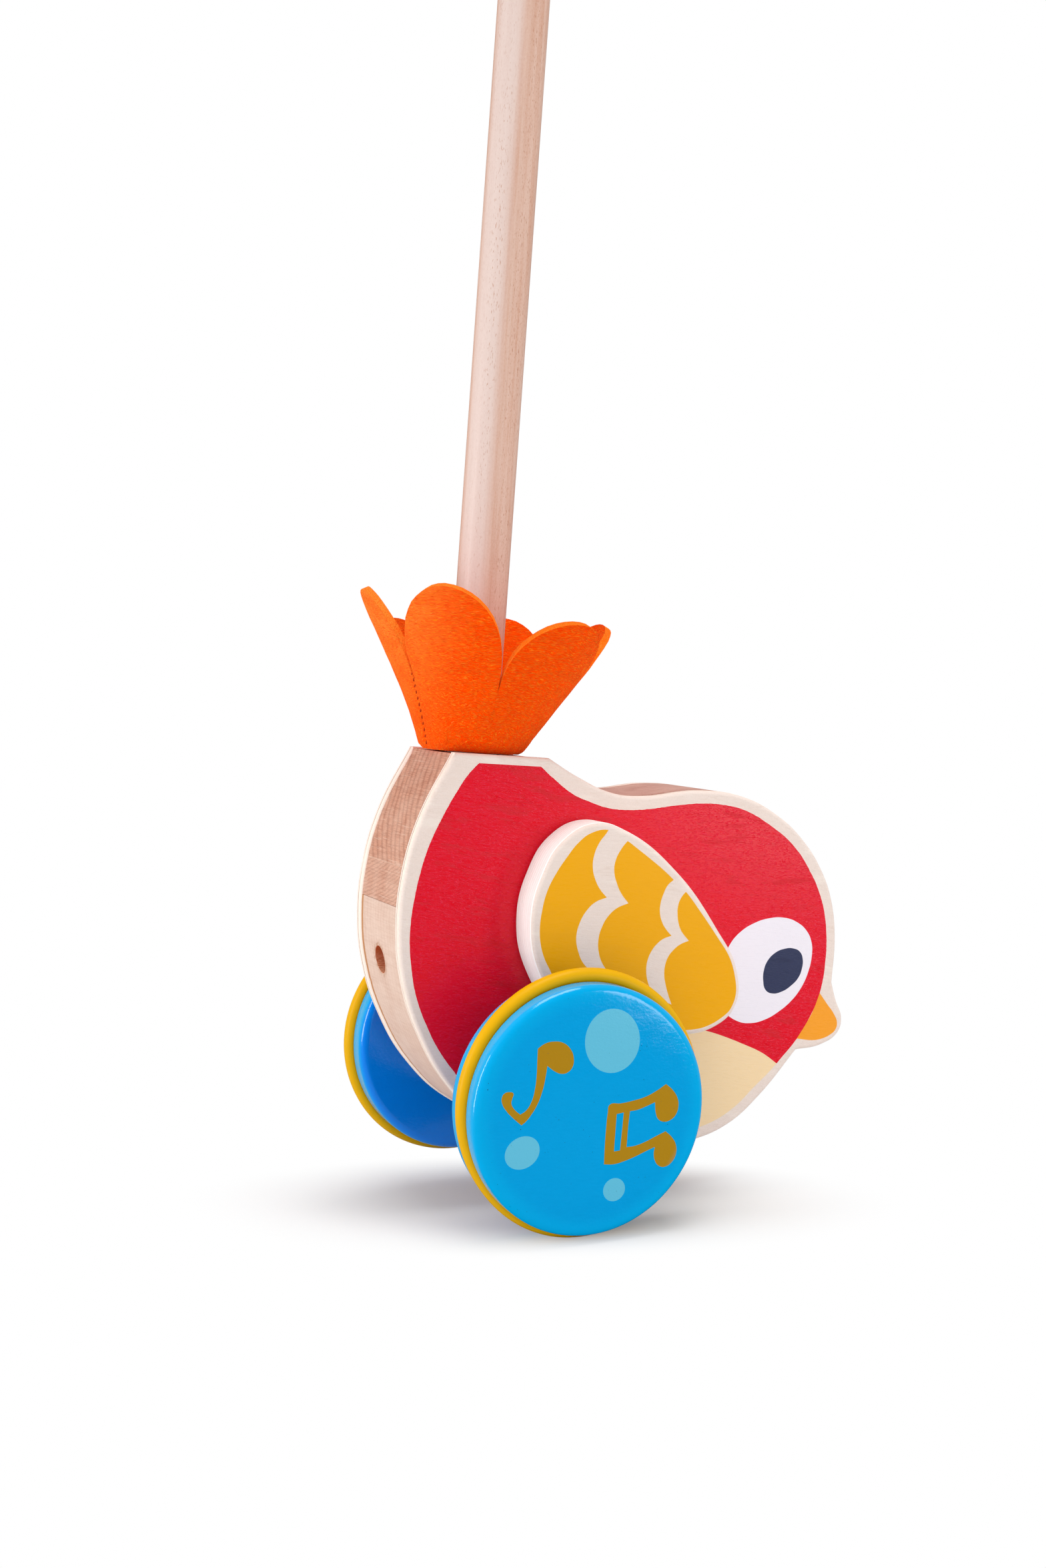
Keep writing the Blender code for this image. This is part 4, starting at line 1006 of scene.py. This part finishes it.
class BIRDTOY_OT_panels(bpy.types.Operator):
    """Make the two printed plywood panels"""
    bl_idname = "birdtoy.panels"
    bl_label = "Printed Panels"

    def execute(self, context):
        prints = context.scene.bird_toy.prints
        outline = closed_outline(
            ((*TAIL_BACK, "C"), (TAIL_FRONT_X, tail_height(TAIL_FRONT_X), "C"), *BODY_OUTLINE), 10)
        wander = prints.edge_wander / MM
        loops = [ink_edge(closed_outline(points, steps), amount, seed) for points, steps, amount, seed in (
            (RED_PRINT, 12, wander, 1.0), (BELLY_PRINT, 8, wander * 0.3, 2.0), (BEAK_PRINT, 6, 0.0, 3.0),
            (EYE_WHITE_PRINT, 6, 0.0, 4.0), (PUPIL_PRINT, 6, 0.0, 5.0))]
        holes = [circle((0.0, 0.0), BUSH_HOLE_RADIUS, 32)]
        holes += [circle(place, DOWEL_HOLE_RADIUS, 24) for place in DOWEL_PLACES]
        materials = [
            birch_veneer("birch_ply_face_sanded", prints.bare),
            screen_ink("red_ink_on_birch", prints.red, prints.red_light, prints.red_deep, see_through=0.42,
                       roughness=0.22, gloss=0.29, relief=0.9),
            screen_ink("cream_ink_on_birch", prints.cream, prints.bare, prints.cream, 0.1),
            screen_ink("orange_ink_on_birch", prints.beak, prints.beak, prints.beak, 0.3),
            screen_ink("white_ink_on_birch", prints.eye, prints.eye, prints.eye, 0.08),
            screen_ink("dark_blue_ink_on_birch", prints.pupil, "#3C4364", "#262B48", 0.25, gloss=0.2),
            plywood_edge("birch_ply_edge_sanded", PANEL_FACES, PANEL_PLY, ("#F8E8DC", "#E6CCB8", "#8E5A3C"),
                         0.9),
        ]
        printed_pair("printed_panel", "side_panel", "red_panel", materials,
                     outline, PANEL_FACES, PANEL_ROUNDING, holes, loops)
        return {"FINISHED"}


class BIRDTOY_OT_wings(bpy.types.Operator):
    """Make the two printed wings"""
    bl_idname = "birdtoy.wings"
    bl_label = "Printed Wings"

    def execute(self, context):
        prints = context.scene.bird_toy.prints
        loops = [closed_outline(points, 8) for points in (YELLOW_PRINT, BAND_ONE, BAND_TWO)]
        bare = birch_veneer("birch_ply_wing_face_sanded", prints.bare)
        yellow = screen_ink("yellow_ink_on_birch", prints.feather, "#F4B222", "#E8A200", 0.18, gloss=0.15)
        edge = plywood_edge("birch_ply_wing_edge_whitened", WING_FACES, WING_PLY,
                            ("#FFFFFC", "#F6F2EC", "#D3C9C2"), 0.55)
        printed_pair("printed_wing", "wing", "yellow_wing", [bare, yellow, bare, bare, edge],
                     closed_outline(WING_OUTLINE, 14), WING_FACES, WING_ROUNDING, [], loops)
        return {"FINISHED"}


class BIRDTOY_OT_stick(bpy.types.Operator):
    """Turn the beech stick and its knob, and dress the wing dowels"""
    bl_idname = "birdtoy.stick"
    bl_label = "Stick and Knob"

    def execute(self, context):
        beech = beech_long_grain("beech_dowel_lacquered", context.scene.bird_toy.wood)
        top, bottom = STICK_LENGTH - SOCKET_DEPTH, -SOCKET_DEPTH
        radius, rounding = STICK_RADIUS, STICK_ROUNDING
        profile = [(0.0, top)] + arc((radius - rounding, top - rounding), rounding, 90.0, 0.0, 4)
        profile += [(radius, bottom + 20.0 * step) for step in range(20, 0, -1)]
        profile += arc((radius - rounding, bottom + rounding), rounding, 0.0, -90.0, 4) + [(0.0, bottom)]
        finish_piece("turned_stick", turned_form(profile, STICK_STEPS), "bird", [beech], ["stick"],
                     stick_place())
        bore, bore_top = radius + KNOB_PLAY, KNOB_RADIUS - KNOB_BORE_DEPTH + KNOB_PLAY
        neck = math.degrees(math.acos((radius + KNOB_FLAT) / KNOB_RADIUS))
        profile = arc((0.0, 0.0), KNOB_RADIUS, 90.0, -neck, 32)
        profile[0] = (0.0, KNOB_RADIUS)
        profile += [(bore, profile[-1][1]), (bore, bore_top), (0.0, bore_top)]
        up = Matrix.Translation((0.0, 0.0, (top - KNOB_RADIUS + KNOB_BORE_DEPTH) * MM))
        finish_piece("turned_knob", turned_form(profile, STICK_STEPS), "bird", [beech],
                     ["stick_knob"], stick_place() @ up)
        for _, label in SIDES:
            for level in ("upper", "lower"):
                refined_copy(f"wing_dowel_{label}_{level}", "bird", beech)
        return {"FINISHED"}


class BIRDTOY_OT_felt_tail(bpy.types.Operator):
    """Make the felt skirt of six petals with its sewn seam"""
    bl_idname = "birdtoy.felt_tail"
    bl_label = "Felt Tail"

    def execute(self, context):
        felt = context.scene.bird_toy.felt
        lengths = [length / MM for length in felt.petals]
        wool = pressed_felt("wool_felt_pressed", felt.colour, felt.pale, felt.deep)
        # Painted highlight: the cut edge takes a lighter orange, where the light catches its fibres.
        cut = pressed_felt("wool_felt_cut_edge_painted_highlight", felt.edge, "#FF8E30", "#FF5808", cut=True)
        foot = stick_place() @ Matrix.Translation((0.0, 0.0, FELT_LIFT * MM))
        skirt = finish_piece("felt_skirt", skirt_form(felt, lengths), "bird", [wool, cut],
                             ["felt_tail"], foot, sharp=180.0)
        tuned(skirt.modifiers.new("felt_thickness", "SOLIDIFY"), thickness=felt.thickness, offset=-1.0,
              use_even_offset=True, material_offset_rim=1)
        tuned(skirt.modifiers.new("soft_edge", "BEVEL"), width=0.9 * MM, segments=3,
              angle_limit=math.radians(55.0), material=1)
        lumps = tuned(bpy.data.textures.new("felt_lumps", "CLOUDS"), noise_scale=3.5 * MM)
        tuned(skirt.modifiers.new("uneven_felt", "DISPLACE"), texture=lumps, texture_coords="LOCAL",
              strength=0.35 * MM)
        even_normals(skirt)
        thread = spun_thread("polyester_thread_spun", felt.thread)
        stitches = finish_piece("seam_stitches", stitches_form(felt.stitch / MM, max(lengths)), "bird",
                                [thread], (), foot, sharp=180.0)
        return {"FINISHED"}


class BIRDTOY_OT_wheels(bpy.types.Operator):
    """Turn the two lacquered wheels and fit their rubber rings"""
    bl_idname = "birdtoy.wheels"
    bl_label = "Wheels and Rings"

    def execute(self, context):
        wheels = context.scene.bird_toy.wheels
        lacquer = wheel_lacquer("gloss_blue_lacquer_sprayed", wheels.lacquer, wheels.lacquer_light)
        dots = wheel_lacquer("pale_blue_ink_on_lacquer", wheels.dots, wheels.dots, roughness=0.2,
                             gloss=0.3)
        notes = wheel_lacquer("ochre_ink_on_lacquer", wheels.notes, wheels.notes, roughness=0.25,
                              gloss=0.2)
        rubber = moulded_rubber("yellow_rubber_moulded", wheels.rubber)
        (inner, outer), (bore, wall) = WHEEL_FACES, AXLE_SOCKET
        corner = WHEEL_RADIUS - WHEEL_ROUNDING
        section = arc((corner, outer - WHEEL_ROUNDING), WHEEL_ROUNDING, 90.0, 0.0, 8)
        section += arc((WHEEL_RADIUS, RING_MIDDLE), RING_RADIUS + GROOVE_PLAY, 90.0, 270.0, 12)
        section += arc((corner, inner + WHEEL_ROUNDING), WHEEL_ROUNDING, 0.0, -90.0, 8)
        section += [(bore, inner), (bore, inner + wall), (0.0, inner + wall)]
        near = [ellipse(*dot) for dot in DOT_PRINTS]
        near += [closed_outline(points, 6) for points in (SINGLE_NOTE, NOTE_PAIR, NOTE_PAIR_SLOT)]
        far = [[Vector((-point.x, point.y)) for point in reversed(loop)] for loop in near]
        finer = [point for radius in FACE_RINGS for point in circle((0.0, 0.0), radius, FACE_RING_STEPS)]
        for side, label in SIDES:
            form = turned_form(section, wheels.steps, Matrix.Rotation(math.radians(-90.0 * side), 4, "X"))
            rim = circle((0.0, 0.0), corner, wheels.steps)
            cut_face(form, rim, [], near if side < 0 else far, side * outer, finer)
            fall_away(form, side * outer, corner)
            bmesh.ops.remove_doubles(form, verts=form.verts, dist=0.01 * MM)
            bmesh.ops.recalc_face_normals(form, faces=form.faces)
            even_normals(finish_piece(f"turned_wheel_{label}", form, "wheelset",
                                      [lacquer, dots, dots, dots, notes, notes, lacquer],
                                      [f"wheel_{label}"]))
            form = ring_form(side, wheels.steps, wheels.bulge / MM if side < 0 else 0.0)
            finish_piece(f"rubber_ring_{label}", form, "wheelset", [rubber],
                         [f"tyre_ring_{label}"])
        return {"FINISHED"}


class BIRDTOY_OT_running_gear(bpy.types.Operator):
    """Dress the axle, its bushes and sleeves, and the plucked comb inside the body"""
    bl_idname = "birdtoy.running_gear"
    bl_label = "Axle and Comb"

    def execute(self, context):
        nylon = moulded_nylon("nylon_natural_moulded", linear("#E4E1DA"))
        steel = drawn_steel("steel_bright_drawn", linear("#C3C5C8"))
        beech = beech_long_grain("beech_batten_planed", context.scene.bird_toy.wood, 0.6)
        for body, slot, material, nodes in (
                ("wheelset", "steel", steel, ("axle",)),
                ("wheelset", "nylon", nylon, ("spacer_sleeve_right", "spacer_sleeve_left", "chime_drum")),
                ("bird", "nylon", nylon, ("axle_bush_right", "axle_bush_left")),
                ("bird", "steel", steel, ("chime_comb", "comb_screw_right", "comb_screw_left")),
                ("bird", "beech", beech, ("comb_bridge",))):
            for node in nodes:
                refined_copy(node, body, material)
        return {"FINISHED"}


def direction(turn, rise):
    """The direction at a turn from the toy's right side towards its front, and a rise, in degrees."""
    turn, rise = math.radians(turn), math.radians(rise)
    return Vector((math.sin(turn) * math.cos(rise), -math.cos(turn) * math.cos(rise), math.sin(rise)))


def room_in_gloss(facing, stage):
    """The brightness that a gloss sees in a direction: white behind and beside the toy, dim before it."""
    ahead = facing.node("SeparateXYZ", output=1)
    return ahead.node("MapRange", -0.75, 0.0, stage.front, stage.side, **SMOOTH)


class BIRDTOY_OT_stage(bpy.types.Operator):
    """Set up the white floor, the soft lamps and the camera"""
    bl_idname = "birdtoy.stage"
    bl_label = "Studio Stage"

    def execute(self, context):
        stage = context.scene.bird_toy.stage
        context.scene.view_settings.view_transform = "Standard"
        self.make_floor(stage)
        context.scene.world = self.make_world(stage)
        self.make_lamps(stage)
        context.scene.camera = self.make_camera(stage)
        return {"FINISHED"}

    def make_floor(self, stage):
        """A floor that takes the toy's shadow, with a painted shadow that makes it darker under the toy, and
        fades to plain white for the camera in an oval; a gloss sees the room's brightness in it instead."""
        mesh = bpy.data.meshes.new("studio_floor")
        rim = [(stage.reach * cos, stage.reach * sin, 0.0) for cos, sin in turns(72)]
        mesh.from_pydata(rim, [], [range(len(rim))])
        floor = add_object("studio_floor", mesh)
        floor.location = AXLE - Vector((0.0, 0.0, WHEEL_RADIUS + RING_RADIUS)) * MM
        material, place = new_material("studio_floor_white", stage.floor)
        tree = material.node_tree
        oval = place.node("Mapping", (0.0, SHADE_MIDDLE_Y * MM, 0.0), (0.0, 0.0, math.radians(SHADE_TURN)),
                          (SHADE_HALF_LENGTH * MM, SHADE_HALF_WIDTH * MM, 1.0), vector_type="TEXTURE")
        away = oval.node("VectorMath", operation="LENGTH", output=1)
        # Painted shadow: the floor's colour is mixed darker in the oval under the toy.
        shade = away.node("MapRange", 0.25, 0.8, 0.2, 0.0, **SMOOTH)
        shaded(material, layered(stage.floor, (shade, 1.0, "#5A5A5A")), 0.9, Specular_IOR_Level=0.0)
        camera = add_node(tree, "LightPath", output="Is Camera Ray")
        glossy = camera.twin("Is Glossy Ray")
        plain = camera.node("Math", camera.twin("Is Transmission Ray"), operation="MAXIMUM")
        room = room_in_gloss(place.node("VectorMath", operation="NORMALIZE"), stage)
        white = add_node(tree, "Emission", (1.0, 1.0, 1.0), glossy * room + plain)
        faded = away.node("MapRange", 0.45, 1.1, **SMOOTH) * plain
        unlit = faded.node("Math", glossy, operation="MAXIMUM")
        lit = Output(tree.nodes["Principled BSDF"].outputs[0])
        set_inputs(tree.nodes["Material Output"], {"Surface": unlit.node("MixShader", lit, white)})
        mesh.materials.append(material)

    def make_world(self, stage):
        """White for the camera, the room's brightness for a gloss, and soft light from all round."""
        world = tuned(bpy.data.worlds.new("studio_world"), use_nodes=True)
        tree = world.node_tree
        tree.nodes.clear()
        camera = add_node(tree, "LightPath", output="Is Camera Ray")
        room = room_in_gloss(add_node(tree, "TexCoord", output="Generated"), stage)
        mirrored = camera.twin("Is Glossy Ray") * room
        seen = mirrored.node("Math", camera, operation="MAXIMUM")
        seen = seen.node("Math", camera.twin("Is Transmission Ray"), operation="MAXIMUM")
        lit = camera.twin("Is Diffuse Ray").node("Math", camera.twin("Is Shadow Ray"), operation="MAXIMUM")
        add_node(tree, "Background", (1.0, 1.0, 1.0), lit * stage.ambient + seen).node("OutputWorld")
        return world

    def make_lamps(self, stage):
        middle = AXLE + Vector(LAMP_AIM) * MM
        for name, turn, rise, distance, (wide, high) in LAMPS:
            lamp = tuned(bpy.data.lights.new(f"{name}_softbox", "AREA"), shape="RECTANGLE", size=wide,
                         size_y=high, energy=getattr(stage, name))
            away = direction(turn, rise)
            tuned(add_object(lamp.name, lamp), location=middle + distance * away,
                  rotation_euler=(-away).to_track_quat("-Z", "Y").to_euler())

    def make_camera(self, stage):
        turn, back = math.radians(CAMERA_TURN), direction(CAMERA_TURN, CAMERA_RISE)
        right = Vector((math.cos(turn), math.sin(turn), 0.0))
        axes = Matrix((right, back.cross(right), back)).transposed()
        camera = add_object("camera", bpy.data.cameras.new("camera"))
        tuned(camera.data, lens=stage.lens, sensor_width=36.0, clip_start=0.01, clip_end=20.0)
        camera.matrix_world = Matrix.Translation(AXLE + axes @ Vector(CAMERA_PLACE) * MM) @ axes.to_4x4()
        return camera


class BIRDTOY_PT_panel(bpy.types.Panel):
    """Lists the steps that build the toy"""
    bl_idname = "BIRDTOY_PT_panel"
    bl_label = "Bird Toy"
    bl_space_type = "VIEW_3D"
    bl_region_type = "UI"
    bl_category = "Bird Toy"

    def draw(self, context):
        for operator in OPERATORS:
            self.layout.operator(operator.bl_idname)


OPERATORS = (BIRDTOY_OT_core, BIRDTOY_OT_panels, BIRDTOY_OT_wings, BIRDTOY_OT_stick, BIRDTOY_OT_felt_tail,
             BIRDTOY_OT_wheels, BIRDTOY_OT_running_gear, BIRDTOY_OT_stage)
CLASSES = (BirdToyPrintSettings, BirdToyWoodSettings, BirdToyFeltSettings, BirdToyWheelSettings,
           BirdToyStageSettings, BirdToySettings, *OPERATORS, BIRDTOY_PT_panel)


def register():
    for made_class in CLASSES:
        bpy.utils.register_class(made_class)
    bpy.types.Scene.bird_toy = PointerProperty(type=BirdToySettings)


def unregister():
    del bpy.types.Scene.bird_toy
    for made_class in reversed(CLASSES):
        bpy.utils.unregister_class(made_class)


def main():
    register()
    for operator in OPERATORS:
        group, name = operator.bl_idname.split(".")
        getattr(getattr(bpy.ops, group), name)()


if __name__ == "__main__":
    main()
